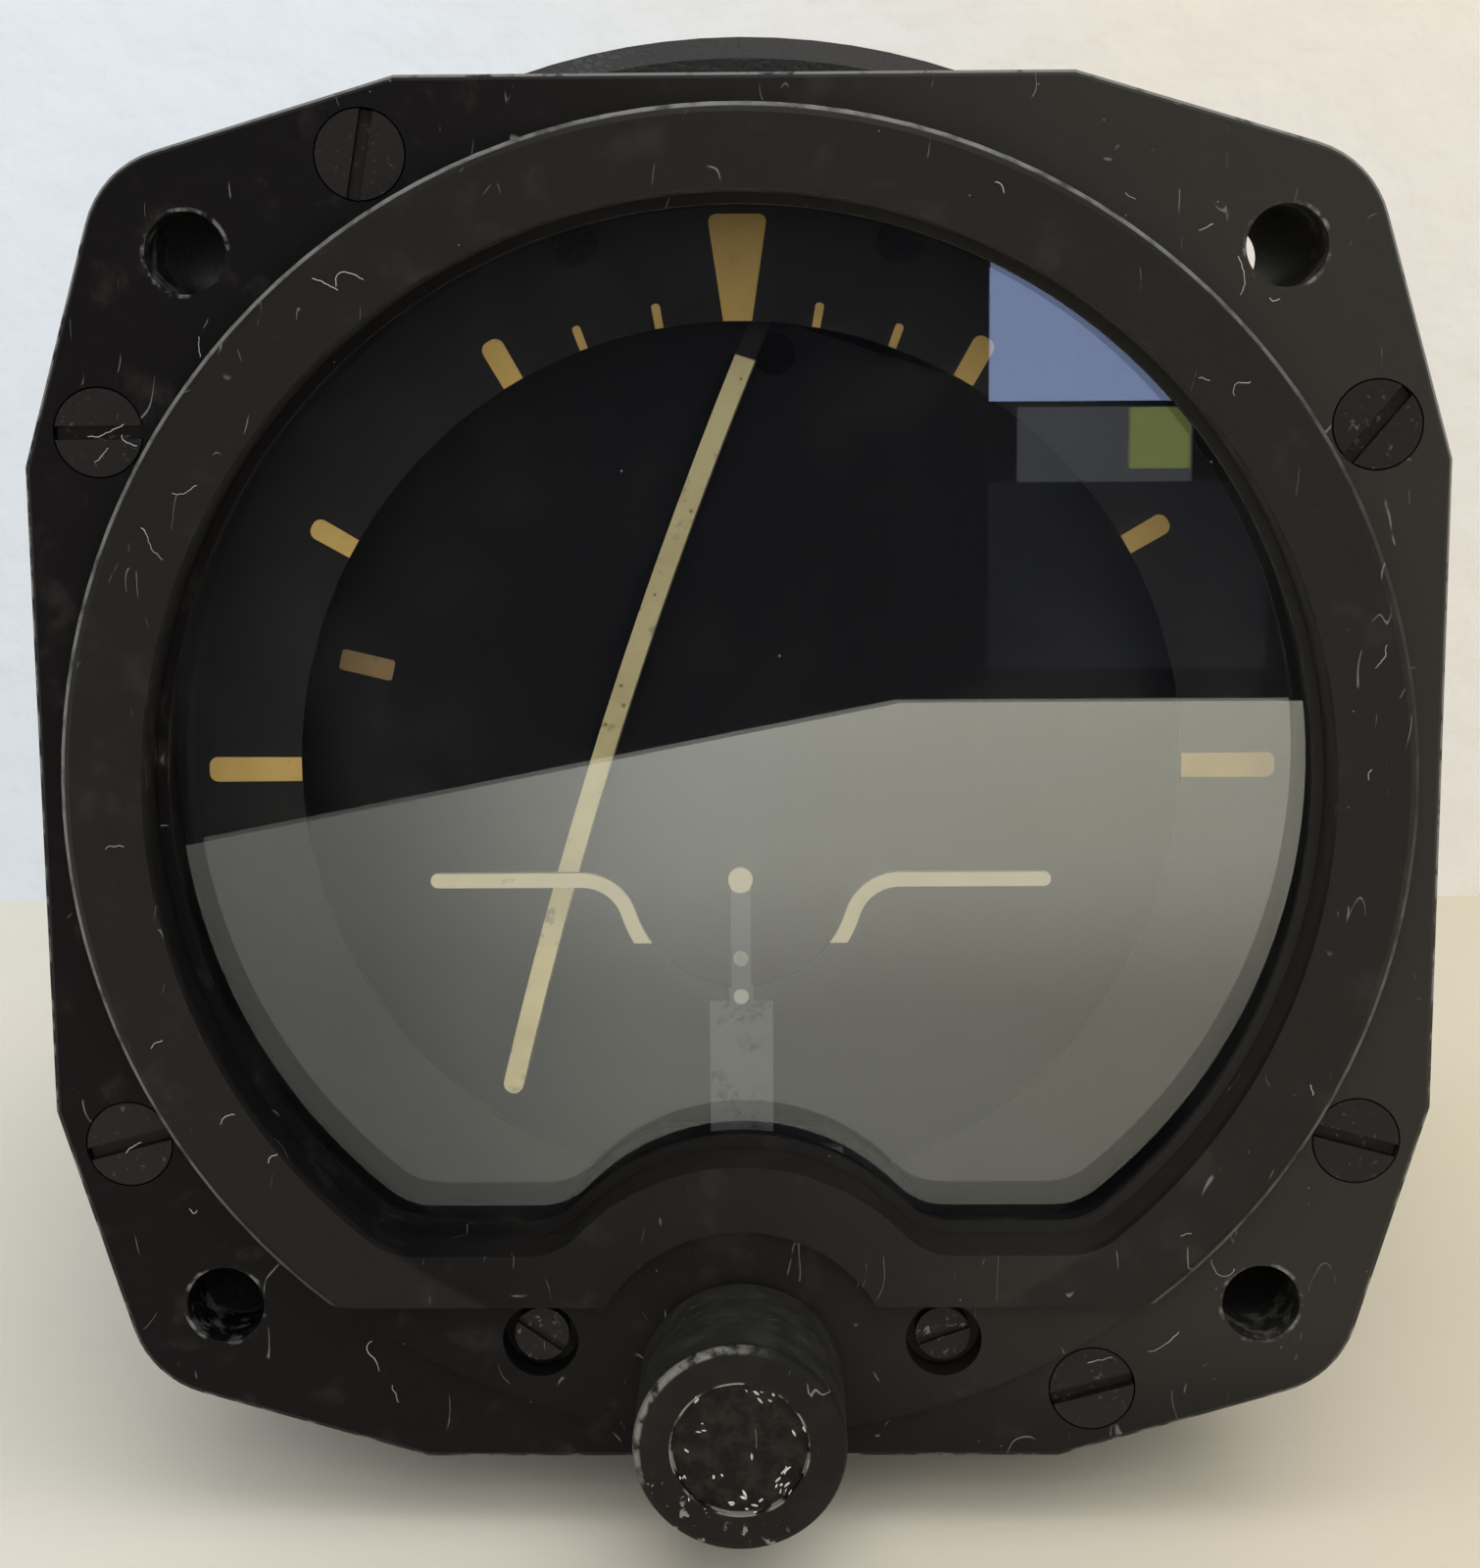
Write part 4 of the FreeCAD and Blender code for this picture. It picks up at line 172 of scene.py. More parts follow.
class Graph:
    """Node tree of one material or of the world, with a short way to add nodes."""

    def __init__(self, tree: bpy.types.NodeTree) -> None:
        """Start from an empty tree."""
        self.tree = tree
        self.tree.nodes.clear()

    def add(self, kind: str, settings: Mapping[str, object] | None = None,
            values: Mapping[str | int, Link] | None = None) -> Node:
        """Add a node, make its settings and then fill its inputs, given by name or number."""
        node = self.tree.nodes.new(kind)
        for name, value in (settings or {}).items():
            setattr(node, name, value)
        for name, value in (values or {}).items():
            self.plug(node.inputs[name], value)
        return node

    def plug(self, socket: Socket, value: Link) -> None:
        """Link a socket, or set its own value."""
        if isinstance(value, Shade):
            value = value.socket
        if isinstance(value, Socket):
            self.tree.links.new(value, socket)
        elif isinstance(value, (int, float)):
            socket.default_value = float(value)
        else:
            size = len(socket.default_value)
            socket.default_value = (*value, 1.0)[:size]

    def mix(self, factor: Link, first: Node, second: Node) -> Node:
        """Mix two shaders; a factor of 0 gives the first and 1 the second."""
        return self.add("ShaderNodeMixShader", values={0: factor, 1: first.outputs[0], 2: second.outputs[0]})

    def point(self) -> Socket:
        """Place of the shaded point in the row frame, in metres."""
        return self.add("ShaderNodeTexCoord").outputs["Object"]

    def parts(self, vector: Socket) -> tuple[Shade, Shade, Shade]:
        """The three parts of a vector."""
        parts = self.add("ShaderNodeSeparateXYZ", values={0: vector})
        return tuple(Shade(self, output) for output in parts.outputs)

    def place(self) -> tuple[Shade, Shade, Shade]:
        """Coordinates of the shaded point in the row frame, in millimetres."""
        scaled = self.add("ShaderNodeVectorMath", {"operation": "SCALE"}, {0: self.point(), "Scale": 1 / MM})
        return self.parts(scaled.outputs[0])

    def squareness(self) -> Shade:
        """How squarely the surface faces the front or the back, from 0 to 1."""
        return abs(self.parts(self.add("ShaderNodeTexCoord").outputs["Normal"])[1])

    def stretched(self, scale: Sequence[float], turn: Sequence[float]) -> Socket:
        """Object coordinates, scaled along the axes and turned by Euler angles in degrees."""
        angles = [math.radians(angle) for angle in turn]
        return self.add("ShaderNodeMapping", values={"Vector": self.point(), "Rotation": angles,
                                                     "Scale": scale}).outputs[0]

    def noise(self, size_mm: float, detail: float = 3.0, rough: float = 0.5,
              vector: Link | None = None) -> Shade:
        """Cloudy value about 0.5, with blobs of a size, its octaves and their strength."""
        node = self.add("ShaderNodeTexNoise", values={
            "Vector": self.point() if vector is None else vector, "Scale": 1 / MM / size_mm,
            "Detail": detail, "Roughness": rough})
        return Shade(self, node.outputs[0])

    def specks(self, cell_mm: float, size: float, share: float) -> Shade:
        """Small round spots, 1 on a spot and 0 elsewhere.

        Each has a cell of its own, and a radius given as a share of the cell. Only a
        share of the cells has one.
        """
        cells = self.add("ShaderNodeTexVoronoi", values={"Vector": self.point(), "Scale": 1 / MM / cell_mm})
        near = Shade(self, cells.outputs["Distance"]).rise(size, size * 0.6)
        chance = self.add("ShaderNodeSeparateColor", values={0: cells.outputs["Color"]})
        return near * Shade(self, chance.outputs[0]).rise(share, share * 0.98)

    def scratches(self, size_mm: float, width: float, seed: float) -> Shade:
        """Thin stray lines, 1 on a line and 0 elsewhere.

        Their width is a share of a blob of the noise. The seed turns the pattern by that
        many degrees, which also picks other lines.
        """
        lines = self.noise(size_mm, 1.5, 0.4, self.stretched((1.0, 1.0, 0.35), (seed, seed * 2, seed)))
        broken = self.noise(size_mm * 0.7, 2.0, 0.5, self.stretched((1, 1, 1), (seed * 3, 0, 0)))
        return abs(lines - 0.5).rise(width, width * 0.3) * broken.rise(0.60, 0.66)

    def blend(self, factor: Link, first: Link, second: Link) -> Socket:
        """Mix two colours; a factor of 0 gives the first and 1 the second."""
        node = self.add("ShaderNodeMix", {"data_type": "RGBA"}, {"Factor": factor})
        self.plug(node.inputs[6], first)
        self.plug(node.inputs[7], second)
        return node.outputs[2]

    def bump(self, height: Value, depth_mm: float, strength: float) -> Socket:
        """Normal of a surface with small relief, where a height of 1 is depth_mm high."""
        return self.add("ShaderNodeBump", values={"Height": height, "Distance": depth_mm * MM,
                                                  "Strength": strength}).outputs[0]

    def close(self, shader: Node, output: str = "ShaderNodeOutputMaterial") -> None:
        """Link the last shader to the tree's output."""
        self.add(output, values={"Surface": shader.outputs[0]})

    def finish(self, **values: Link) -> None:
        """Close the tree with one principled surface; names use _ for a space."""
        titles = {name.replace("_", " "): value for name, value in values.items()}
        self.close(self.add("ShaderNodeBsdfPrincipled", values=titles))


# ------------------------------------------------------------------ what the frame says


@dataclass(frozen=True)
class Places:
    """Faces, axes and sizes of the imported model, in millimetres."""

    hole_at: float
    hole_radius: float
    ring_radius: float
    ring_face: float
    seam_front: float
    mask_face: float
    disc_face: float
    knob_radius: float
    knob_face: float
    knob_z: float
    symbol_top: float
    plug_radius: float
    plug_end: float
    plug_z: float
    lowest: float
    rearmost: float

    @classmethod
    def read(cls, frame: Mapping[str, object]) -> Places:
        mounts = {mount["name"]: mount for mount in frame["record"]["mounts"]}
        bolts, plug = mounts["panel_bolts"]["dims"], mounts["connector"]

        def ends(box: Sequence[Sequence[float]]) -> list[list[float]]:
            """A box's corners in millimetres, free of rounding dust."""
            return [[round(value / MM, 4) for value in corner] for corner in box]

        def front(name: str) -> float:
            """Where a node starts, seen from the front."""
            return ends(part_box(name))[0][1]

        (_, _, lowest), (_, rearmost, _) = ends(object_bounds())
        (_, knob_face, knob_bottom), (knob_radius, _, _) = ends(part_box("knob"))
        return cls(hole_at=bolts["spacing_x_mm"] / 2, hole_radius=bolts["hole_r_mm"],
                   ring_radius=mounts["panel_ring"]["dims"]["r_mm"], ring_face=front("bezel"),
                   seam_front=front("case_gasket"), mask_face=front("mask_ring"),
                   disc_face=front("background_disc"), knob_radius=knob_radius, knob_face=knob_face,
                   knob_z=knob_bottom + knob_radius, symbol_top=ends(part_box("aircraft_symbol"))[1][2],
                   plug_radius=plug["dims"]["r_mm"], plug_end=ends(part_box("connector_shell"))[1][1],
                   plug_z=plug["pos_m"][2] / MM, lowest=lowest, rearmost=rearmost)


# ------------------------------------------------------------------ finishes


class Finish:
    """A surface finish. Each kind has a name and fills a node tree in wire()."""

    name: str

    def make(self) -> bpy.types.Material:
        """Build the material."""
        material = bpy.data.materials.new(self.name)
        material.use_nodes = True
        self.wire(Graph(material.node_tree))
        return material

    def wire(self, g: Graph) -> None:
        """Fill the material's graph."""
        raise NotImplementedError


@dataclass(frozen=True)
class Enamel(Finish):
    """Old black enamel of the cast front, painted with light and shade, worn edges, scratches and dust."""

    at: Places
    name: str = "black_enamel"
    window_radius: float = 34.1
    # the first colour is the black in painted shade at the upper left, the second the black in painted light
    # at the right
    shaded_black: Colour = (0.0026, 0.0020, 0.0023)
    lit_black: Colour = (0.0190, 0.0172, 0.0142)
    ring: Colour = (0.0098, 0.0086, 0.0074)
    rubbed: Colour = (0.024, 0.023, 0.020)
    bare: Colour = (0.24, 0.24, 0.225)

    def shades(self, g: Graph, x: Shade, y: Shade, z: Shade, radius: Shade) -> Socket:
        """Painted shade and light: darker black at the upper left and towards the bottom, lighter at the
        right; and the ring's own black.
        """
        cloud = g.noise(16.0, 4.0, 0.55)
        # painted light towards the right, painted shade towards the bottom
        side = (x + cloud * 26.0 - 13.0).rise(-26.0, 34.0) * (z.rise(-41.0, -32.0) * 0.7 + 0.3)
        proud = y.rise(self.at.ring_face + 1.4, self.at.ring_face + 0.5)
        on_ring = proud * radius.rise(self.window_radius - 0.1, self.window_radius + 0.5)
        return g.blend(on_ring * 0.9, g.blend(side, self.shaded_black, self.lit_black), self.ring)

    def worn(self, g: Graph, x: Shade, y: Shade, z: Shade, radius: Shade) -> Shade:
        """Bare metal along the bevels of flange and ring and round the mounting holes, with painted highlight
        on the upper flange edges and on the ring's upper left and lower right.
        """
        ring, hole = self.at.ring_radius, self.at.hole_radius
        square = g.squareness()
        bevelled = square.rise(0.22, 0.45) * square.rise(0.93, 0.82)
        # painted highlight: the upper edges of the flange get more bare patches
        upper = (z + x * 0.35).rise(4.0, 26.0)
        patches = (g.noise(1.3, 3.0, 0.6) + upper * 0.16).rise(0.44, 0.62)
        flange_edge = bevelled * y.rise(0.15, 0.23) * radius.rise(ring + 0.9, ring + 1.3) * patches * 0.7
        # painted highlight: the ring's bare outer edge is brightest at the upper left and lower right
        ring_edge = bevelled * radius.rise(ring - 0.3, ring - 0.2) * radius.rise(ring + 0.4, ring + 0.1)
        lit = (z - x * 0.8).rise(-20.0, 18.0) * 0.62 + (x * 0.9 - z).rise(34.0, 48.0) * 0.30 + 0.08
        broken = (g.noise(1.4, 4.0, 0.6) * 1.6).rise(0.35, 1.0)
        from_hole = ((abs(x) - self.at.hole_at) ** 2 + (abs(z) - self.at.hole_at) ** 2).root()
        rim = from_hole.rise(hole + 0.27, hole + 0.15) * from_hole.rise(hole - 0.05, hole + 0.03)
        hole_edge = rim * g.noise(1.4, 3.0, 0.6).rise(0.48, 0.66) * 0.55
        return flange_edge.at_least(ring_edge * broken * lit).at_least(hole_edge)

    def wire(self, g: Graph) -> None:
        """Fill the material's graph."""
        x, y, z = g.place()
        radius = (x * x + z * z).root()
        rubbed = g.noise(3.2, 5.0, 0.62).rise(0.54, 0.72) * 0.35
        base = g.blend(rubbed, self.shades(g, x, y, z, radius), self.rubbed)
        # besides real bare metal this holds the painted highlights of the edges
        worn = self.worn(g, x, y, z, radius)
        lines = (g.scratches(4.5, 0.0035, 25.0) * 0.45).at_least(g.scratches(3.2, 0.0030, 70.0) * 0.35)
        marks = worn.at_least(lines).at_least(g.specks(1.3, 0.055, 0.28) * 0.35)
        relief = g.noise(0.35, 2.0, 0.5) * 0.5 + g.noise(2.4, 3.0, 0.5) * 0.5
        g.finish(Base_Color=g.blend(marks * 0.9, base, self.bare),
                 Roughness=0.50 + g.noise(0.9, 3.0, 0.6) * 0.16 - rubbed * 0.12, Metallic=worn * 0.35,
                 Specular_IOR_Level=0.17, Normal=g.bump(relief - marks * 0.2, 0.035, 0.5))


@dataclass(frozen=True)
class DullPaint(Finish):
    """Plain dull paint with faint cloudiness, for the dial."""

    name: str
    colour: Colour
    rough: float = 0.7
    grain_mm: float = 0.5
    grain_depth: float = 0.02
    rub: Colour = (0.10, 0.10, 0.095)
    rub_share: float = 0.3

    def wire(self, g: Graph) -> None:
        """Fill the material's graph."""
        cloud = g.noise(7.0, 5.0, 0.6)
        rubbed = cloud.rise(0.56, 0.78) * self.rub_share
        dust = g.specks(1.3, 0.06, 0.22) * 0.22
        relief = g.noise(self.grain_mm, 3.0, 0.6)
        g.finish(Base_Color=g.blend(rubbed.at_least(dust), self.colour, self.rub),
                 Roughness=cloud * 0.12 + (self.rough - 0.06), Specular_IOR_Level=0.4,
                 Normal=g.bump(relief, self.grain_depth, 0.8))


@dataclass(frozen=True)
class CracklePaint(Finish):
    """Wrinkled black stoving paint of the case."""

    name: str = "crackle_paint"
    colour: Colour = (0.0135, 0.0125, 0.0120)
    rub: Colour = (0.075, 0.075, 0.07)
    cell_mm: float = 2 / 3

    def wire(self, g: Graph) -> None:
        """Fill the material's graph."""
        cells = g.add("ShaderNodeTexVoronoi", {"feature": "DISTANCE_TO_EDGE"},
                      {"Vector": g.point(), "Scale": 1 / MM / self.cell_mm})
        wrinkle = Shade(g, cells.outputs["Distance"]).rise(0.0, 0.32)
        rubbed = g.noise(22.0, 4.0, 0.55).rise(0.55, 0.72) * wrinkle * 0.35
        g.finish(Base_Color=g.blend(rubbed, self.colour, self.rub), Roughness=0.62 - rubbed * 0.3,
                 Specular_IOR_Level=0.45, Normal=g.bump(wrinkle, 0.04, 0.8))


@dataclass(frozen=True)
class Metal(Finish):
    """Bare or plated metal with turning marks and patches of tarnish."""

    name: str
    colour: Colour
    tarnish: Colour
    rough: float = 0.32
    tarnish_share: float = 0.5

    def wire(self, g: Graph) -> None:
        """Fill the material's graph."""
        patches = g.noise(2.6, 4.0, 0.62).rise(0.44, 0.66) * self.tarnish_share
        turning = g.noise(0.22, 2.0, 0.5)
        g.finish(Base_Color=g.blend(patches, self.colour, self.tarnish),
                 Roughness=turning * 0.14 + patches * 0.25 + (self.rough - 0.05),
                 Metallic=1.0, Normal=g.bump(turning, 0.006, 0.6))


@dataclass(frozen=True)
class BlackScrew(Finish):
    """Blackened screw head, rubbed to bare metal on its rim and along its slot."""

    name: str = "blackened_screw"
    colour: Colour = (0.0085, 0.0075, 0.0070)
    bare: Colour = (0.24, 0.23, 0.215)
    bare_share: float = 0.45

    def wire(self, g: Graph) -> None:
        """Fill the material's graph."""
        square = g.squareness()
        edge = square.rise(0.15, 0.4) * square.rise(0.96, 0.86) * g.noise(0.8, 3.0).rise(0.36, 0.52)
        flecks = g.noise(0.45, 4.0, 0.65).rise(0.60, 0.70)
        worn = (flecks * 0.5).at_least(g.scratches(1.6, 0.006, 40.0) * 0.6).at_least(edge)
        g.finish(Base_Color=g.blend(worn * self.bare_share, self.colour, self.bare),
                 Roughness=0.54 - worn * 0.15, Metallic=worn * 0.6, Specular_IOR_Level=0.25,
                 Normal=g.bump(g.noise(0.3, 3.0, 0.6), 0.02, 0.6))


@dataclass(frozen=True)
class KnobFinish(Finish):
    """Worn black knob: chipped rim with a painted highlight on its upper part, and a face recess full of dark
    residue.
    """

    at: Places
    name: str = "knob_finish"
    recess: float = 3.9
    side: tuple[Colour, Colour] = ((0.0150, 0.0145, 0.0118), (0.0260, 0.0250, 0.0200))
    face: Colour = (0.0012, 0.0012, 0.0010)
    residue: tuple[Colour, Colour] = ((0.0036, 0.0034, 0.0026), (0.0115, 0.0104, 0.0080))
    bare: Colour = (0.30, 0.29, 0.25)

    def bright(self, g: Graph, x: Shade, y: Shade, up: Shade, face: Shade) -> Shade:
        """Bare chips low on the face, the worn upper rim brightened as painted highlight, the recess's lip
        and scratches.
        """
        radius = (x * x + up ** 2).root()
        low = radius.rise(self.recess + 0.3, self.recess + 0.8) * face * (x * -0.5 - up).rise(2.7, 5.0)
        chips = low * 0.5 * g.noise(0.6, 3.0, 0.6).rise(0.60, 0.66)
        rim, front = self.at.knob_radius, self.at.knob_face
        turned_edge = radius.rise(rim - 0.52, rim - 0.34) * y.rise(front + 0.5, front + 0.3)
        # painted highlight: the worn rim shows bright only at its upper left
        upper = (up - x * 1.3).rise(2.5, 8.0)
        rim_wear_and_highlight = turned_edge * upper * g.noise(0.8, 3.0, 0.6).rise(0.36, 0.60) * 0.42
        lip = face * abs(radius - self.recess).rise(0.13, 0.04) * g.noise(1.6, 3.0).rise(0.48, 0.58) * 0.6
        return chips.at_least(rim_wear_and_highlight).at_least(lip).at_least(g.scratches(2.4, 0.004, 15.0) * 0.4)

    def wire(self, g: Graph) -> None:
        """Fill the material's graph."""
        x, y, z = g.place()
        up = z - self.at.knob_z
        face = y.rise(self.at.knob_face + 0.75, self.at.knob_face + 0.45)
        inside = face * (x * x + up ** 2).root().rise(self.recess + 0.12, self.recess - 0.1)
        cloud = g.noise(2.0, 5.0, 0.62)
        colour = g.blend(face * 0.72, g.blend(cloud.rise(0.4, 0.7), *self.side), self.face)
        residue = g.blend(g.noise(1.1, 4.0, 0.65).rise(0.42, 0.62), *self.residue)
        colour = g.blend(inside, colour, residue)
        relief = g.noise(0.5, 4.0, 0.65) * (inside * 2.6 + 0.4)
        g.finish(Base_Color=g.blend(self.bright(g, x, y, up, face), colour, self.bare),
                 Roughness=0.52 - inside * 0.14 + cloud * 0.1, Specular_IOR_Level=0.20,
                 Normal=g.bump(relief, 0.07, 0.9))


@dataclass(frozen=True)
class LumePaint(Finish):
    """Aged cream paint of the marks, with dirt spots."""

    name: str
    colour: Colour
    aged: Colour
    dirt: float = 0.30
    dirt_mm: float = 1.4

    def wire(self, g: Graph) -> None:
        """Fill the material's graph."""
        colour = g.blend(g.noise(5.0, 4.0, 0.6).rise(0.36, 0.68), self.colour, self.aged)
        spots = g.noise(self.dirt_mm, 5.0, 0.7).rise(0.60, 0.70) * self.dirt
        pits = g.specks(0.9, 0.13, 0.22) * self.dirt
        g.finish(Base_Color=g.blend(spots.at_least(pits), colour, (0.075, 0.062, 0.040)),
                 Roughness=0.78 - spots * 0.1, Specular_IOR_Level=0.3,
                 Normal=g.bump(g.noise(0.4, 3.0, 0.6), 0.02, 0.7))


@dataclass(frozen=True)
class HorizonBarPaint(Finish):
    """Cream paint on the part of the bar that shows, dark beyond."""

    name: str = "horizon_bar_paint"
    lean: float = 72.0
    painted_to: float = 24.1

    def wire(self, g: Graph) -> None:
        """Fill the material's graph."""
        x, y, z = g.place()
        along = x * math.cos(math.radians(self.lean)) + z * math.sin(math.radians(self.lean))
        cream = g.blend(g.noise(5.0, 4.0, 0.6).rise(0.36, 0.68), (0.72, 0.60, 0.33), (0.60, 0.48, 0.25))
        dirt = (g.noise(1.9, 5.0, 0.7).rise(0.58, 0.70) * 0.55).at_least(g.specks(1.1, 0.16, 0.28) * 0.7)
        cream = g.blend(dirt, cream, (0.11, 0.085, 0.05))
        ends = along.rise(self.painted_to, self.painted_to + 0.15)
        g.finish(Base_Color=g.blend(ends, cream, (0.016, 0.015, 0.014)), Roughness=0.78,
                 Specular_IOR_Level=0.3, Normal=g.bump(g.noise(0.4, 3.0, 0.6), 0.02, 0.7))


@dataclass(frozen=True)
class SymbolPaint(Finish):
    """Aircraft symbol: cream wings and dot over a bare black hoop and stem."""

    at: Places
    name: str = "symbol_paint"
    cream: tuple[Colour, Colour] = ((0.66, 0.56, 0.36), (0.60, 0.50, 0.31))
    black: Colour = (0.016, 0.016, 0.017)
    stem: Colour = (0.085, 0.085, 0.088)
    dot_radius: float = 0.75
    wing_drop: float = 4.7

    def wire(self, g: Graph) -> None:
        """Fill the material's graph."""
        x, y, z = g.place()
        bend_end = self.at.symbol_top - self.wing_drop
        wings = z.rise(bend_end - 0.05, bend_end + 0.05) * abs(x).rise(3.0, 3.1)
        from_dot = (x * x + (z - (self.at.symbol_top - self.dot_radius)) ** 2).root()
        dot = from_dot.rise(self.dot_radius + 0.10, self.dot_radius + 0.03)
        painted = wings.at_least(dot)
        chips = g.noise(1.2, 4.0, 0.65).rise(0.66, 0.72) * 0.35
        cream = g.blend(g.noise(4.0, 3.0, 0.6).rise(0.35, 0.7), *self.cream)
        on_stem = abs(x).rise(0.8, 0.7) * dot.rise(0.6, 0.4)
        bare = g.blend(on_stem, self.black, self.stem)
        g.finish(Base_Color=g.blend(painted * (1.0 - chips), bare, cream),
                 Roughness=0.75 - painted * 0.05, Specular_IOR_Level=0.3,
                 Normal=g.bump(g.noise(0.4, 3.0, 0.6), 0.015, 0.6))


@dataclass(frozen=True)
class PostPaint(Finish):
    """Pale grey post of the aircraft, with dark stains; its rack and arm stay bare."""

    name: str = "post_paint"
    colour: Colour = (0.105, 0.101, 0.094)
    foot_z: float = -34.05
    back_y: float = 6.9

    def wire(self, g: Graph) -> None:
        """Fill the material's graph."""
        x, y, z = g.place()
        cloud = g.noise(2.2, 5.0, 0.68)
        stain = cloud.rise(0.53, 0.62) * g.noise(0.5, 3.0, 0.6).rise(0.40, 0.60) * 0.85
        colour = g.blend(g.noise(3.4, 3.0, 0.6).rise(0.35, 0.65), self.colour, (0.095, 0.092, 0.088))
        colour = g.blend(stain, colour, (0.028, 0.026, 0.024))
        foot = z.rise(self.foot_z + 0.15, self.foot_z - 0.15)
        back = y.rise(self.back_y - 0.05, self.back_y + 0.05)
        g.finish(Base_Color=g.blend(foot.at_least(back), colour, (0.10, 0.10, 0.10)),
                 Roughness=0.66 + stain * 0.1, Specular_IOR_Level=0.35, Normal=g.bump(cloud, 0.03, 0.6))


@dataclass(frozen=True)
class WindowGlass(Finish):
    """Clear flat glass that mirrors what stands in front of it, with a painted reflection that fades towards
    the bottom and the left.
    """

    name: str = "window_glass"
    mirror: float = 0.12

    def wire(self, g: Graph) -> None:
        """Fill the material's graph."""
        sharp = Shade(g, g.add("ShaderNodeFresnel", values={"IOR": 1.5}).outputs[0])
        x, y, z = g.place()
        # painted reflection: extra mirror strength, weaker towards the bottom and the left as painted shade
        painted_reflection_falloff = (z.rise(-15.0, -3.0) * 0.60 + 0.40) * (x.rise(-25.0, 0.0) * 0.88 + 0.12) * self.mirror
        clear = g.add("ShaderNodeBsdfTransparent", values={"Color": (0.97, 0.98, 0.98)})
        polish = g.add("ShaderNodeBsdfGlossy", values={"Color": (0.90, 0.96, 1.0), "Roughness": 0.0})
        film = g.noise(9.0, 4.0, 0.6).rise(0.45, 0.8) * 0.006
        dust = g.specks(2.3, 0.028, 0.16) * 0.30
        haze = g.add("ShaderNodeBsdfDiffuse", values={"Color": (0.62, 0.62, 0.60)})
        g.close(g.mix(dust.at_least(film), g.mix(sharp + painted_reflection_falloff, clear, polish), haze))


@dataclass(frozen=True)
class Mottled(Finish):
    """Material of two shades in soft clouds, with or without a fine grain.

    cloud and grain hold a noise's size in millimetres, its octaves and their strength.
    """

    name: str
    colours: tuple[Colour, Colour]
    cloud: tuple[float, float, float]
    band: tuple[float, float] = (0.4, 0.6)
    rough: float = 0.5
    rough_swing: float = 0.0
    gloss: float = 0.5
    grain: tuple[float, float, float] | None = None
    grain_depth: float = 0.0
    grain_strength: float = 0.0

    def wire(self, g: Graph) -> None:
        """Fill the material's graph."""
        cloud = g.noise(*self.cloud)
        values = {"Base_Color": g.blend(cloud.rise(*self.band), *self.colours),
                  "Roughness": cloud * self.rough_swing + self.rough if self.rough_swing else self.rough,
                  "Specular_IOR_Level": self.gloss}
        if self.grain:
            values["Normal"] = g.bump(g.noise(*self.grain), self.grain_depth, self.grain_strength)
        g.finish(**values)


def rubber(name: str, colour: Colour) -> Mottled:
    """Rubber or hardened sealant of a colour."""
    return Mottled(name, (colour, (0.035, 0.032, 0.028)), (1.8, 4.0, 0.6), (0.45, 0.7), 0.62, 0.2, 0.35,
                   (0.6, 4.0, 0.6), 0.05, 0.8)


BLACK_DIAL = DullPaint("dial_black", (0.0058, 0.0055, 0.0066), 0.62, 0.6, 0.015, (0.012, 0.012, 0.0135), 0.35)
MASK_BLACK = DullPaint("mask_black", (0.0125, 0.0108, 0.0110), 0.55, 0.5, 0.02, (0.026, 0.023, 0.023), 0.4)
# flat black disc standing for the painted shade inside the balance hole
HOLE_SHADE_BLACK = DullPaint("hole_shade_black", (0.0012, 0.0012, 0.0014), 0.9)
CASE_BLACK = CracklePaint()
SCREW_BLACK = BlackScrew()
SCREW_BROWN = BlackScrew("brown_screw", (0.0110, 0.0098, 0.0080), (0.27, 0.25, 0.21), 0.8)
ALUMINIUM = Metal("aluminium", (0.62, 0.62, 0.61), (0.33, 0.32, 0.30), 0.36, 0.45)
CASTING = Metal("cast_aluminium", (0.48, 0.48, 0.47), (0.24, 0.235, 0.22), 0.5, 0.6)
BRASS = Metal("brass", (0.62, 0.43, 0.17), (0.30, 0.19, 0.08), 0.34, 0.55)
STEEL = Metal("steel", (0.52, 0.52, 0.52), (0.22, 0.20, 0.18), 0.3, 0.5)
COPPER = Metal("copper", (0.66, 0.29, 0.14), (0.30, 0.13, 0.07), 0.34, 0.5)
SCALE_PAINT = LumePaint("scale_paint", (0.60, 0.385, 0.125), (0.52, 0.33, 0.10))
INDEX_PAINT = LumePaint("index_paint", (0.25, 0.155, 0.075), (0.20, 0.13, 0.06))
RUBBER = rubber("black_rubber", (0.014, 0.013, 0.012))
SEALANT = rubber("old_sealant", (0.026, 0.017, 0.012))
INSERT_PLASTIC = Mottled("insert_plastic", ((0.030, 0.026, 0.022), (0.0455, 0.0401, 0.0347)),
                         (3.0, 4.0, 0.55), (0.4, 0.7), 0.38, 0.15, 0.45, (0.5, 3.0, 0.5), 0.01, 0.6)
LINT = Mottled("lint", ((0.34, 0.335, 0.32), (0.20, 0.195, 0.185)), (2.0, 2.0, 0.5), rough=0.85, gloss=0.2)
KNOB_CHIP = Mottled("knob_chip", ((0.46, 0.45, 0.40), (0.36, 0.35, 0.31)), (0.4, 2.0, 0.5))


# ------------------------------------------------------------------ shapes and placing


class Body(Enum):
    """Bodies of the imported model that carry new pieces."""

    CASE = "case"
    ROLL = "roll_body"
    KNOB = "knob_body"


class Slot(Enum):
    """Material slots of the record."""

    GASKET = "gasket"
    DIAL = "dial_black"
    CREAM = "cream_paint"
    ALUMINIUM = "aluminium"
    KNOB = "knob_plastic"


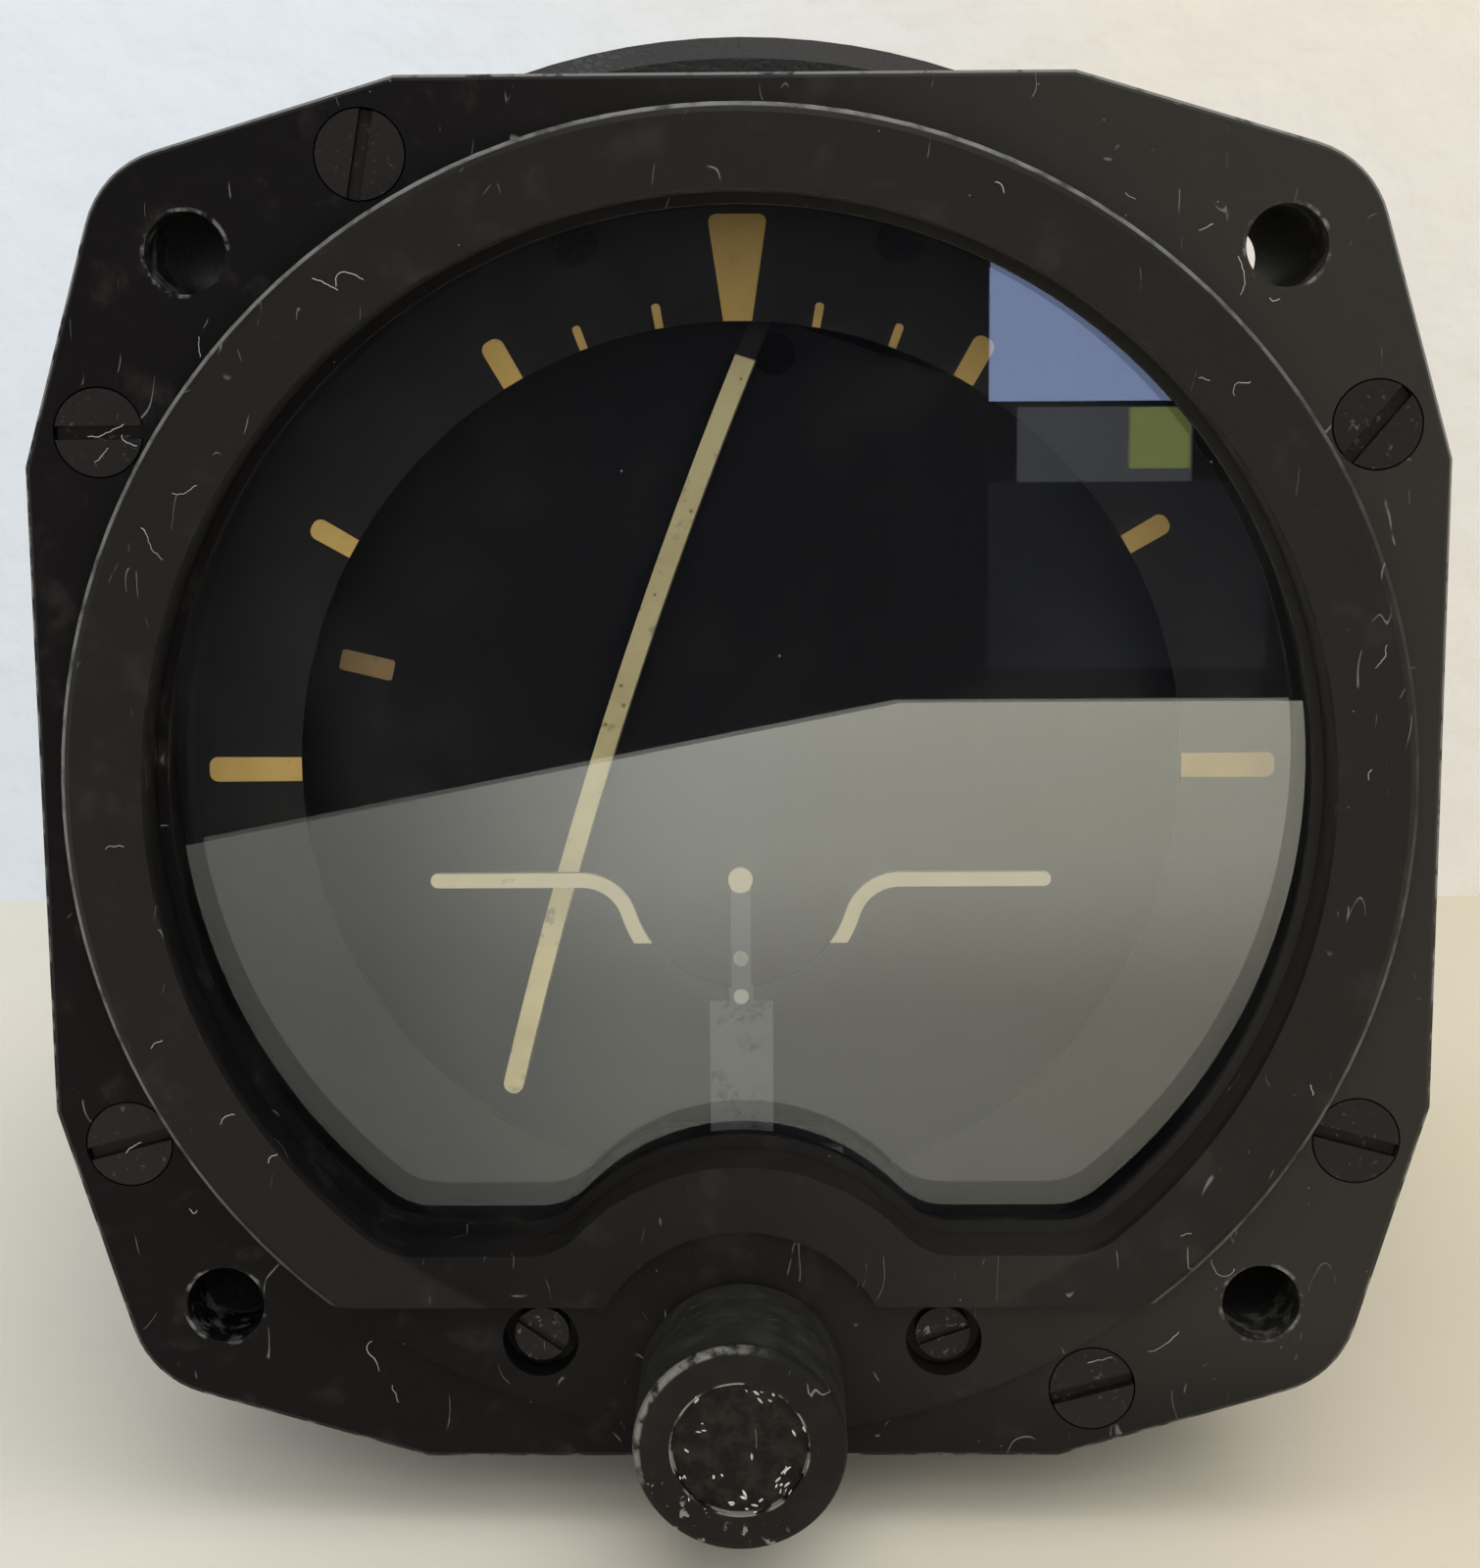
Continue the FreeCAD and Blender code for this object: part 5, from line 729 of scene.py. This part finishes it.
class Shape:
    """A mesh in the making, in millimetres, with short names for the operators."""

    def __init__(self) -> None:
        """Start empty."""
        self.mesh = bmesh.new()

    def block(self, size: Sequence[float]) -> list[Vert]:
        """Add a cuboid about the origin and give its vertices."""
        verts = bmesh.ops.create_cube(self.mesh, size=1.0)["verts"]
        self.scale(verts, size)
        return verts

    def ball(self, radius: float, subdivisions: int) -> list[Vert]:
        """Add an icosphere about the origin and give its vertices."""
        return bmesh.ops.create_icosphere(self.mesh, subdivisions=subdivisions, radius=radius)["verts"]

    def ring(self, radius: float, corners: int) -> list[Vert]:
        """Add an open circle about the origin in the XY plane and give its vertices."""
        return bmesh.ops.create_circle(self.mesh, cap_ends=False, radius=radius, segments=corners)["verts"]

    def scale(self, verts: Verts, factor: Sequence[float]) -> None:
        """Scale vertices about the origin."""
        bmesh.ops.scale(self.mesh, vec=Vector(factor), verts=list(verts))

    def move(self, verts: Verts, by: Sequence[float]) -> None:
        """Move vertices."""
        bmesh.ops.translate(self.mesh, vec=Vector(by), verts=list(verts))

    def turn(self, verts: Verts, axis: str, degrees: float, centre: Sequence[float] = (0, 0, 0)) -> None:
        """Turn vertices about an axis through a centre."""
        turn = Matrix.Rotation(math.radians(degrees), 3, axis)
        bmesh.ops.rotate(self.mesh, cent=Vector(centre), matrix=turn, verts=list(verts))

    def roughen(self, verts: Verts, amount: float, dice: random.Random) -> None:
        """Shift each vertex a little."""
        for vert in verts:
            vert.co += Vector([dice.uniform(-amount, amount) for _ in range(3)])

    @staticmethod
    def edges_of(verts: Verts) -> list[Edge]:
        """Edges that end at any of the vertices."""
        return list({edge for vert in verts for edge in vert.link_edges})

    def round_corners(self, verts: Verts, width: float, segments: int) -> None:
        """Round the edges between vertices that run straight from front to back."""
        held = set(verts)
        edges = [edge for edge in self.mesh.edges if held.issuperset(edge.verts)
                 and (edge.verts[0].co - edge.verts[1].co).xz.length < TINY]
        bmesh.ops.bevel(self.mesh, geom=edges, offset=width, segments=segments,
                        affect="EDGES", profile=0.5, material=-1)

    def grow(self, edges: list[Edge]) -> tuple[list[Edge], Verts]:
        """Extrude an open outline in place and give the new outline and its vertices."""
        grown = bmesh.ops.extrude_edge_only(self.mesh, edges=edges)["geom"]
        outline = [part for part in grown if isinstance(part, Edge) and part.is_boundary]
        return outline, {vert for edge in outline for vert in edge.verts}

    def cap(self) -> None:
        """Fill every open end."""
        open_edges = [edge for edge in self.mesh.edges if edge.is_boundary]
        bmesh.ops.holes_fill(self.mesh, edges=open_edges, sides=0)

    def outwards(self) -> None:
        """Merge doubles and point every face outwards."""
        bmesh.ops.remove_doubles(self.mesh, verts=self.mesh.verts, dist=TINY)
        bmesh.ops.recalc_face_normals(self.mesh, faces=self.mesh.faces)

    def finished(self, name: str, material: bpy.types.Material, smooth: bool = False) -> bpy.types.Object:
        """Turn the shape into an object in metres, and free its mesh."""
        self.scale(self.mesh.verts, (MM, MM, MM))
        data = bpy.data.meshes.new(name)
        self.mesh.to_mesh(data)
        self.mesh.free()
        data.polygons.foreach_set("use_smooth", [smooth] * len(data.polygons))
        data.materials.append(material)
        return linked(name, data)


def linked(name: str, data: bpy.types.ID) -> bpy.types.Object:
    """Make an object of some data and put it in the scene."""
    made = bpy.data.objects.new(name, data)
    bpy.context.scene.collection.objects.link(made)
    return made


class Workshop:
    """Hands out finishes and puts finished pieces on the loaded frame."""

    def __init__(self, frame: Mapping[str, object]) -> None:
        """Keep the frame's nodes."""
        self.nodes = frame["nodes"]
        self.made: dict[Finish, bpy.types.Material] = {}
        self.undressed = set(self.nodes)

    def material(self, finish: Finish) -> bpy.types.Material:
        """Make a finish once."""
        if finish not in self.made:
            self.made[finish] = finish.make()
        return self.made[finish]

    def dress(self, finish: Finish, *names: str) -> None:
        """Give CAD nodes a finish."""
        material = self.material(finish)
        for name in names:
            slots = self.nodes[name].material_slots
            if not slots:
                self.nodes[name].data.materials.append(material)
            for held in slots:
                held.material = material
            self.undressed.discard(name)
            log.info("dressed %s with %s", name, material.name)

    def place(self, name: str, shape: Shape, finish: Finish, body: Body, slot: Slot,
              smooth: bool = False) -> None:
        """Turn a shape into a finished piece that rides on a body."""
        piece = shape.finished(name, self.material(finish), smooth)
        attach(piece, body.value)
        log.info("built %s on %s, %d faces", name, body.value, len(piece.data.polygons))


# ------------------------------------------------------------------ sub-assemblies


PAINT = 0.06
SUNK = 0.01


@dataclass(frozen=True)
class Assembly:
    """Pieces that belong together."""

    at: Places

    def dress(self, shop: Workshop) -> None:
        """Give the CAD nodes their finishes."""

    def build(self, shop: Workshop) -> None:
        """Add the new pieces."""


@dataclass(frozen=True)
class BankScale(Assembly):
    """Mask with its painted bank marks.

    Each mark holds its bank angle clockwise from the top, its width at the opening,
    its width at the outer end and its radial length.
    """

    inner: float = 27.5
    corner: float = 0.55
    corner_share: float = 0.42
    top: tuple[float, float, float, float] = (0.0, 1.76, 3.65, 6.4)
    pairs: tuple[tuple[float, float, float, float], ...] = (
        (10.0, 0.50, 0.54, 1.5), (20.0, 0.50, 0.54, 1.5), (30.0, 1.36, 1.42, 2.95),
        (60.0, 1.26, 1.32, 2.95), (90.0, 1.50, 1.56, 5.8))

    def dress(self, shop: Workshop) -> None:
        """Give the dial stack its finishes."""
        shop.dress(MASK_BLACK, "mask_ring")
        shop.dress(SCREW_BLACK, "mask_screws")
        shop.dress(BLACK_DIAL, "mask_carrier", "spacer_ring")

    def mark(self, shape: Shape, turn: float, inner_width: float, outer_width: float, length: float) -> None:
        """Add one painted mark at a bank angle, clockwise from the top."""
        others = set(shape.mesh.verts)
        verts = shape.block((1.0, PAINT, length))
        outer = [vert for vert in verts if vert.co.z > 0]
        shape.scale([vert for vert in verts if vert.co.z < 0], (inner_width, 1, 1))
        shape.scale(outer, (outer_width, 1, 1))
        shape.round_corners(outer, min(self.corner, outer_width * self.corner_share), 5)
        whole = [vert for vert in shape.mesh.verts if vert not in others]
        shape.move(whole, (0, self.at.mask_face - PAINT / 2 + SUNK, self.inner + length / 2))
        shape.turn(whole, "Y", turn)

    def build(self, shop: Workshop) -> None:
        """Paint the marks."""
        shape = Shape()
        self.mark(shape, *self.top)
        for turn, *sizes in self.pairs:
            self.mark(shape, turn, *sizes)
            self.mark(shape, -turn, *sizes)
        shape.outwards()
        shop.place("bank_scale_marks", shape, SCALE_PAINT, Body.CASE, Slot.CREAM)


@dataclass(frozen=True)
class AttitudeDisplay(Assembly):
    """Background disc, horizon bar and the gyro that carries them."""

    index_inner: float = 23.1
    index_outer: float = 26.6
    index_width: float = 1.35
    index_corner: float = 0.22
    index_angle: float = 166.4
    hole_at: float = 25.6
    hole_angle: float = 4.9
    hole_radius: float = 1.35
    hole_sides: int = 40

    def dress(self, shop: Workshop) -> None:
        """Give the moving inner pieces their finishes."""
        shop.dress(BLACK_DIAL, "background_disc")
        shop.dress(HorizonBarPaint(), "horizon_bar")
        shop.dress(CASTING, "roll_gimbal", "gyro_housing", "gyro_housing_cap")
        shop.dress(ALUMINIUM, "horizon_bar_arm")
        shop.dress(STEEL, "roll_shaft", "pitch_bearing_left", "pitch_bearing_right", "bar_pivot_screw",
                   "cap_screws", "guide_pin", "spin_bearing_upper", "spin_bearing_lower", "rotor_shaft",
                   "roll_bearing_front", "roll_bearing_rear")
        shop.dress(BRASS, "bar_counterweight", "rotor", "slip_rings")
        shop.dress(COPPER, "stator")

    def build(self, shop: Workshop) -> None:
        """Paint the index mark on the disc and lay a black disc of painted shade in the mouth of the balance
        hole.
        """
        self.index_mark(shop)
        self.hole_shade(shop)

    def index_mark(self, shop: Workshop) -> None:
        """Paint the index mark."""
        shape = Shape()
        length = self.index_outer - self.index_inner
        shape.round_corners(shape.block((length, PAINT, self.index_width)), self.index_corner, 4)
        verts = shape.mesh.verts
        shape.move(verts, (self.index_inner + length / 2, self.at.disc_face - PAINT / 2 + SUNK, 0))
        shape.turn(verts, "Y", -self.index_angle)
        shape.outwards()
        shop.place("disc_index_mark", shape, INDEX_PAINT, Body.ROLL, Slot.CREAM)

    def hole_shade(self, shop: Workshop) -> None:
        """Lay a flat black disc as painted shade in the mouth of the balance hole."""
        shape = Shape()
        rim = shape.ring(self.hole_radius, self.hole_sides)
        shape.turn(rim, "X", 90)
        _, back = shape.grow(shape.edges_of(rim))
        shape.move(back, (0, PAINT, 0))
        shape.cap()
        shape.move(shape.mesh.verts, (0, self.at.disc_face - PAINT + SUNK, self.hole_at))
        shape.turn(shape.mesh.verts, "Y", self.hole_angle)
        shape.outwards()
        shop.place("disc_hole_mouth", shape, HOLE_SHADE_BLACK, Body.ROLL, Slot.DIAL)


@dataclass(frozen=True)
class RearEnd(Assembly):
    """Case, rear cover and the connector."""

    thread_length: float = 12.5
    pitch: float = 1.27
    depth: float = 0.35
    flank: float = 0.75
    proud: float = 0.02
    turns: int = 8
    steps: int = 40

    def dress(self, shop: Workshop) -> None:
        """Give the rear's nodes their finishes."""
        shop.dress(CASE_BLACK, "case_body", "rear_cover")
        shop.dress(CASTING, "rear_bulkhead")
        shop.dress(ALUMINIUM, "connector_shell")
        shop.dress(STEEL, "bulkhead_screws", "rear_cover_screws", "connector_screws")
        shop.dress(RUBBER, "rear_cover_gasket")
        shop.dress(INSERT_PLASTIC, "connector_insert", "brush_block")
        shop.dress(BRASS, "connector_pins")

    def build(self, shop: Workshop) -> None:
        """Wind the thread round the connector's barrel."""
        shape = Shape()
        section = shape.ring(self.depth, 3)
        shape.scale(section, (self.flank, 1.0, 1.0))
        shape.move(section, (self.at.plug_radius + self.proud, self.at.plug_end - self.thread_length, 0))
        bmesh.ops.spin(shape.mesh, geom=section + shape.edges_of(section), cent=Vector((0, 0, 0)),
                       axis=Vector((0, 1, 0)), dvec=Vector((0, self.pitch / self.steps, 0)),
                       angle=math.tau * self.turns, steps=self.steps * self.turns, use_duplicate=False)
        shape.cap()
        shape.move(shape.mesh.verts, (0, 0, self.at.plug_z))
        shape.outwards()
        shop.place("connector_thread", shape, ALUMINIUM, Body.CASE, Slot.ALUMINIUM, smooth=True)


@dataclass(frozen=True)
class Adjuster(Assembly):
    """Knob, its gears and the little aircraft that it raises.

    Each cluster of chips holds its angle and distance from the knob's axis, how many
    chips it has, how far they spread and where they head.
    """

    floor: float = 0.35
    edge: float = 0.04
    floor_radius: float = 3.75
    clusters: tuple[tuple[float, float, int, float, float], ...] = (
        (75, 3.1, 4, 0.45, 160), (152, 2.5, 3, 0.35, 150), (185, 2.8, 2, 0.3, 130), (207, 3.6, 3, 0.35, 90),
        (226, 3.9, 4, 0.5, 60), (245, 3.8, 4, 0.5, 40), (262, 3.7, 3, 0.4, 170), (282, 3.5, 4, 0.5, 20),
        (318, 3.3, 7, 0.4, 50), (335, 3.0, 4, 0.3, 50), (280, 2.8, 2, 0.3, 140), (240, 1.9, 2, 0.6, 100),
        (310, 0.9, 1, 0.2, 100), (20, 3.7, 3, 0.5, 100), (60, 3.6, 2, 0.4, 140), (130, 3.6, 2, 0.4, 40))

    def dress(self, shop: Workshop) -> None:
        """Give the adjuster's nodes their finishes."""
        shop.dress(KnobFinish(self.at), "knob")
        shop.dress(STEEL, "knob_set_screw", "pinion_shaft", "knob_spring_washer", "idler_pin",
                   "aircraft_rivets")
        shop.dress(BRASS, "knob_bushing", "idler_gear")
        shop.dress(ALUMINIUM, "adjuster_bracket", "bracket_spacers")
        shop.dress(PostPaint(), "aircraft_slide")
        shop.dress(SymbolPaint(self.at), "aircraft_symbol")

    def build(self, shop: Workshop) -> None:
        """Scatter bright chips round the recess in the knob's face."""
        dice = random.Random(5)
        shape = Shape()
        for angle, reach, count, spread, heading in self.clusters:
            for _ in range(count):
                verts = shape.ball(dice.uniform(0.05, 0.10), 1)
                shape.scale(verts, (dice.uniform(1.2, 3.6), 0.6, dice.uniform(0.6, 1.1)))
                shape.roughen(verts, 0.02, dice)
                shape.turn(verts, "Y", -heading + dice.uniform(-35, 35))
                across = reach * math.cos(math.radians(angle)) + dice.uniform(-spread, spread)
                up = reach * math.sin(math.radians(angle)) + dice.uniform(-spread, spread)
                depth = self.floor if math.hypot(across, up) < self.floor_radius else self.edge
                shape.move(verts, (across, self.at.knob_face + depth, self.at.knob_z + up))
        shop.place("knob_chips", shape, KNOB_CHIP, Body.KNOB, Slot.KNOB)


@dataclass(frozen=True)
class FrontCase(Assembly):
    """Cast front, its screws, the window and the seals.

    Each run of sealant holds its first and last place on the flange's outline, and how
    many lumps it has.
    """

    seam: float = 0.2
    runs: tuple[tuple[tuple[float, float], tuple[float, float], int], ...] = (
        ((22.0, 40.45), (35.0, 36.75), 26), ((35.5, 36.3), (37.6, 30.0), 9),
        ((-37.2, -33.0), (-36.0, -35.9), 5), ((-33.0, -37.3), (-24.0, -39.9), 7),
        ((24.0, -39.9), (33.0, -37.4), 10))

    def dress(self, shop: Workshop) -> None:
        """Give the front's nodes their finishes."""
        shop.dress(Enamel(self.at), "bezel")
        shop.dress(SCREW_BLACK, "bezel_screws")
        shop.dress(SCREW_BROWN, "bracket_screws")
        shop.dress(RUBBER, "glass_gasket")
        shop.dress(SEALANT, "case_gasket")
        shop.dress(WindowGlass(), "window_glass")

    def build(self, shop: Workshop) -> None:
        """Squeeze ragged bits of sealant out of the seam between bezel and case."""
        dice = random.Random(11)
        shape = Shape()
        seam_y = self.at.seam_front + self.seam
        for (x1, z1), (x2, z2), count in self.runs:
            slope = math.degrees(math.atan2(z2 - z1, x2 - x1))
            for index in range(count):
                share = (index + dice.uniform(0.1, 0.9)) / count
                verts = shape.ball(dice.uniform(0.16, 0.42), 2)
                shape.scale(verts, (dice.uniform(1.4, 3.2), 0.7, 0.8))
                shape.roughen(verts, 0.07, dice)
                shape.turn(verts, "Y", -slope + dice.uniform(-12, 12))
                shape.move(verts, (x1 + (x2 - x1) * share, seam_y + dice.uniform(-0.15, 0.2),
                                   z1 + (z2 - z1) * share + dice.uniform(-0.1, 0.15)))
        shop.place("seam_sealant", shape, SEALANT, Body.CASE, Slot.GASKET, smooth=True)


@dataclass(frozen=True)
class Lint(Assembly):
    """Stray fibres caught on the front, in turn on the ring and by a corner of the flange."""

    fibres: int = 30
    steps: int = 10
    sides: int = 5
    radius: float = 0.028
    height: float = 0.03
    on_ring: tuple[float, float] = (35.4, 37.8)
    on_flange: tuple[float, float] = (40.6, 42.6)
    lengths: tuple[float, ...] = (0.7, 0.9, 1.2, 1.6, 2.3)
    bend: float = 34.0
    corner_spread: float = 0.28
    hump_angle: float = 0.75
    hump_box: tuple[float, float] = (9.0, -33.0)

    def fibre(self, shape: Shape, dice: random.Random, start: Vector, heading: float, length: float) -> None:
        """Add one bent fibre that lies on a plane facing the front.

        Its heading is its first direction, in degrees from +x.
        """
        ring = shape.ring(self.radius, self.sides)
        shape.turn(ring, "Y", 90)
        shape.turn(ring, "Y", -heading)
        shape.move(ring, start)
        edges = shape.edges_of(ring)
        for _ in range(self.steps):
            bend = dice.uniform(-self.bend, self.bend)
            heading += bend
            edges, verts = shape.grow(edges)
            ahead = Vector((math.cos(math.radians(heading)), dice.uniform(-0.05, 0.05),
                            math.sin(math.radians(heading)))) * (length / self.steps)
            centre = sum((vert.co for vert in verts), Vector()) / len(verts)
            shape.turn(verts, "Y", -bend, centre)
            shape.move(verts, ahead)

    def build(self, shop: Workshop) -> None:
        """Lay the fibres."""
        dice = random.Random(23)
        shape = Shape()
        narrow, low = self.hump_box
        for index in range(self.fibres):
            ring = index % 2 == 0
            angle = dice.uniform(0, math.tau)
            while ring and abs(angle - 1.5 * math.pi) < self.hump_angle:
                angle = dice.uniform(0, math.tau)
            reach = dice.uniform(*(self.on_ring if ring else self.on_flange))
            if not ring:
                spread = dice.uniform(-self.corner_spread, self.corner_spread)
                angle = math.pi / 4 + math.pi / 2 * (index // 2 % 4) + spread
            y = (self.at.ring_face if ring else 0.0) - self.height
            start = Vector((reach * math.cos(angle), y, reach * math.sin(angle)))
            if start.z < low and abs(start.x) < narrow:
                continue
            self.fibre(shape, dice, start, dice.uniform(0, 360), dice.choice(self.lengths))
        shape.cap()
        bmesh.ops.recalc_face_normals(shape.mesh, faces=shape.mesh.faces)
        shop.place("lint_fibres", shape, LINT, Body.CASE, Slot.CREAM, smooth=True)


# ------------------------------------------------------------------ studio


@dataclass(frozen=True)
class PaleSurface(Finish):
    """Pale table or bumpy wall, clear from behind, with painted light: cooler at the left, warmer at the
    right.
    """

    name: str
    left: Colour
    right: Colour
    relief_mm: float
    depth_mm: float

    def wire(self, g: Graph) -> None:
        """Fill the material's graph."""
        x, y, z = g.place()
        cloud = g.noise(60.0, 3.0, 0.5)
        # painted light: the colour goes from cooler at the left to warmer at the right
        side = (x + cloud * 30.0 - 15.0).rise(-70.0, 70.0)
        colour = g.blend(cloud.rise(0.3, 0.7) * 0.3, g.blend(side, self.left, self.right),
                         tuple(part * 0.9 for part in self.left))
        normal = g.bump(g.noise(self.relief_mm, 3.0, 0.5), self.depth_mm, 0.6)
        paint = g.add("ShaderNodeBsdfPrincipled", values={"Base Color": colour, "Roughness": 0.8,
                                                          "Specular IOR Level": 0.2, "Normal": normal})
        behind = g.add("ShaderNodeNewGeometry").outputs["Backfacing"]
        g.close(g.mix(behind, paint, g.add("ShaderNodeBsdfTransparent")))


@dataclass(frozen=True)
class Card(Finish):
    """Evenly glowing card that stands in front of the dial, in millimetres."""

    name: str
    size: tuple[float, float]
    where: tuple[float, float, float]
    colour: Colour
    lift: float = 0.0

    def wire(self, g: Graph) -> None:
        """Fill the material's graph."""
        g.close(g.add("ShaderNodeEmission", values={"Color": self.colour, "Strength": 1.0}))


CARDS = (
    Card("dark_flag", (420, 368), (-190, -230, 76), (0.008, 0.008, 0.011), 82.5),
    Card("window_card", (123, 109), (123.5, -600, 65.5), (0.63, 0.75, 1.20)),
    Card("shelf_card", (49, 21), (94.5, -600, -1.1), (0.140, 0.140, 0.150)),
    Card("note_card", (17, 17), (109.7, -598, 0.7), (0.45, 0.49, 0.155)),
    Card("chair_card", (79, 53), (101.5, -600, -38.0), (0.026, 0.026, 0.031)),
)


@dataclass(frozen=True)
class Studio(Assembly):
    """Table, wall, lamps and surroundings."""

    clearance: float = 0.15
    wall_gap: float = 54.3
    near_edge: float = -389.0
    far_front: float = -2500.0
    width: float = 3000.0
    wall_top: float = 1500.0

    def plane(self, shop: Workshop, name: str, size: tuple[float, float], turn: float,
              centre: Sequence[float], finish: Finish, lift: float = 0.0) -> bpy.types.Object:
        """Make one flat stage piece, in millimetres.

        It is turned about X before it goes to its centre. lift raises its lower right corner.
        """
        shape = Shape()
        verts = bmesh.ops.create_grid(shape.mesh, x_segments=1, y_segments=1, size=0.5)["verts"]
        shape.scale(verts, (*size, 1))
        shape.turn(verts, "X", turn)
        shape.move([vert for vert in verts if vert.co.x > 0 and vert.co.z < 0], (0, 0, lift))
        shape.move(verts, centre)
        stage = shape.finished(name, shop.material(finish))
        stage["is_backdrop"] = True
        return stage

    def floor(self, shop: Workshop, name: str, front: float, back: float, finish: Finish) -> bpy.types.Object:
        """Lay one strip of the table from its near edge to its far edge."""
        centre = (0, (front + back) / 2, self.at.lowest - self.clearance)
        return self.plane(shop, name, (self.width, back - front), 0, centre, finish)

    def room(self, shop: Workshop) -> None:
        """Build the table and the wall; mirrors don't show the table's front strip."""
        table = PaleSurface("pale_table", (0.79, 0.75, 0.65), (0.72, 0.65, 0.50), 1.6, 0.05)
        wall = PaleSurface("pale_wall", (0.64, 0.68, 0.73), (0.69, 0.635, 0.55), 7.0, 1.4)
        wall_y = self.at.rearmost + self.wall_gap
        self.floor(shop, "table", self.near_edge, wall_y, table)
        self.floor(shop, "table_front", self.far_front, self.near_edge, table).visible_glossy = False
        self.floor(shop, "table_behind", wall_y, wall_y + self.near_edge - self.far_front, table)
        foot = self.at.lowest - self.clearance
        self.plane(shop, "wall", (self.width, self.wall_top - foot), 90,
                   (0, wall_y, (self.wall_top + foot) / 2), wall)

    def world(self) -> None:
        """Light the surroundings evenly, with a dim room in front for glossy rays."""
        world = bpy.data.worlds.new("surroundings")
        world.use_nodes = True
        bpy.context.scene.world = world
        g = Graph(world.node_tree)
        _, forward, up = g.parts(g.add("ShaderNodeTexCoord").outputs["Generated"])
        path = g.add("ShaderNodeLightPath")
        dim = Shade(g, path.outputs["Is Glossy Ray"]) * forward.rise(-0.25, -0.75) * up.rise(0.80, 0.35)
        pale = g.add("ShaderNodeBackground", values={"Color": (0.86, 0.89, 0.93), "Strength": 0.52})
        dark = g.add("ShaderNodeBackground", values={"Color": (0.010, 0.010, 0.013), "Strength": 1.0})
        seen = g.add("ShaderNodeBackground", values={"Color": (0.82, 0.81, 0.77), "Strength": 1.0})
        g.close(g.mix(path.outputs["Is Camera Ray"], g.mix(dim, pale, dark), seen), "ShaderNodeOutputWorld")

    def cards(self, shop: Workshop) -> None:
        """Stand the cards in front, which only mirrors show."""
        for card in CARDS:
            stood = self.plane(shop, card.name, card.size, 90, card.where, card, card.lift)
            for rays in ("camera", "diffuse", "shadow", "transmission"):
                setattr(stood, f"visible_{rays}", False)

    def lamp(self, name: str, where: Sequence[float], size: float, power: float,
             colour: Colour) -> bpy.types.Object:
        """Hang one square area lamp that looks at the dial, in millimetres and watts."""
        data = bpy.data.lights.new(name, "AREA")
        data.energy = power
        data.size = size * MM
        data.color = colour
        lamp = linked(name, data)
        place = Vector(where) * MM
        aim = Vector((0, 0.02, 0)) - place
        lamp.matrix_world = Matrix.Translation(place) @ aim.to_track_quat("-Z", "Y").to_matrix().to_4x4()
        return lamp

    def build(self, shop: Workshop) -> None:
        """Set everything up."""
        self.room(shop)
        self.world()
        self.lamp("overhead_lamp", (150, -420, 820), 900, 5.0, (1.0, 0.98, 0.95))
        fill = self.lamp("front_lamp", (60, -900, 260), 700, 6.9, (0.98, 0.99, 1.0))
        fill.visible_glossy = False
        self.cards(shop)


@dataclass(frozen=True)
class ViewPoint:
    """The camera in front of the dial, a little above it."""

    place: tuple[float, float, float] = (2.31, -156.43, 25.76)
    lens: float = 61.836
    pan: float = -0.386
    roll: float = 0.750
    tilt: float = -9.162

    def build(self) -> None:
        """Create the camera and make it the scene's own."""
        data = bpy.data.cameras.new("front_camera")
        data.lens = self.lens
        data.sensor_width = 36.0
        data.clip_start = 0.005
        data.clip_end = 20.0
        camera = linked("front_camera", data)
        aim = Matrix.Identity(4)
        for degrees, axis in ((90.0, "X"), (self.pan, "Z"), (self.roll, "Y"), (self.tilt, "X")):
            aim = aim @ Matrix.Rotation(math.radians(degrees), 4, axis)
        camera.matrix_world = Matrix.Translation(Vector(self.place) * MM) @ aim
        bpy.context.scene.camera = camera


def main() -> None:
    """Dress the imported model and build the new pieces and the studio."""
    logging.basicConfig(level=logging.INFO, format="%(message)s")
    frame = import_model()
    bpy.context.scene.view_settings.view_transform = "Standard"
    ViewPoint().build()
    shop = Workshop(frame)
    at = Places.read(frame)
    kinds = (BankScale, AttitudeDisplay, RearEnd, Adjuster, FrontCase, Lint, Studio)
    assemblies = [kind(at) for kind in kinds]
    for assembly in assemblies:
        assembly.dress(shop)
    if shop.undressed:
        raise RuntimeError("without a finish: " + ", ".join(sorted(shop.undressed)))
    for assembly in assemblies:
        assembly.build(shop)


if __name__ == "__main__":
    main()
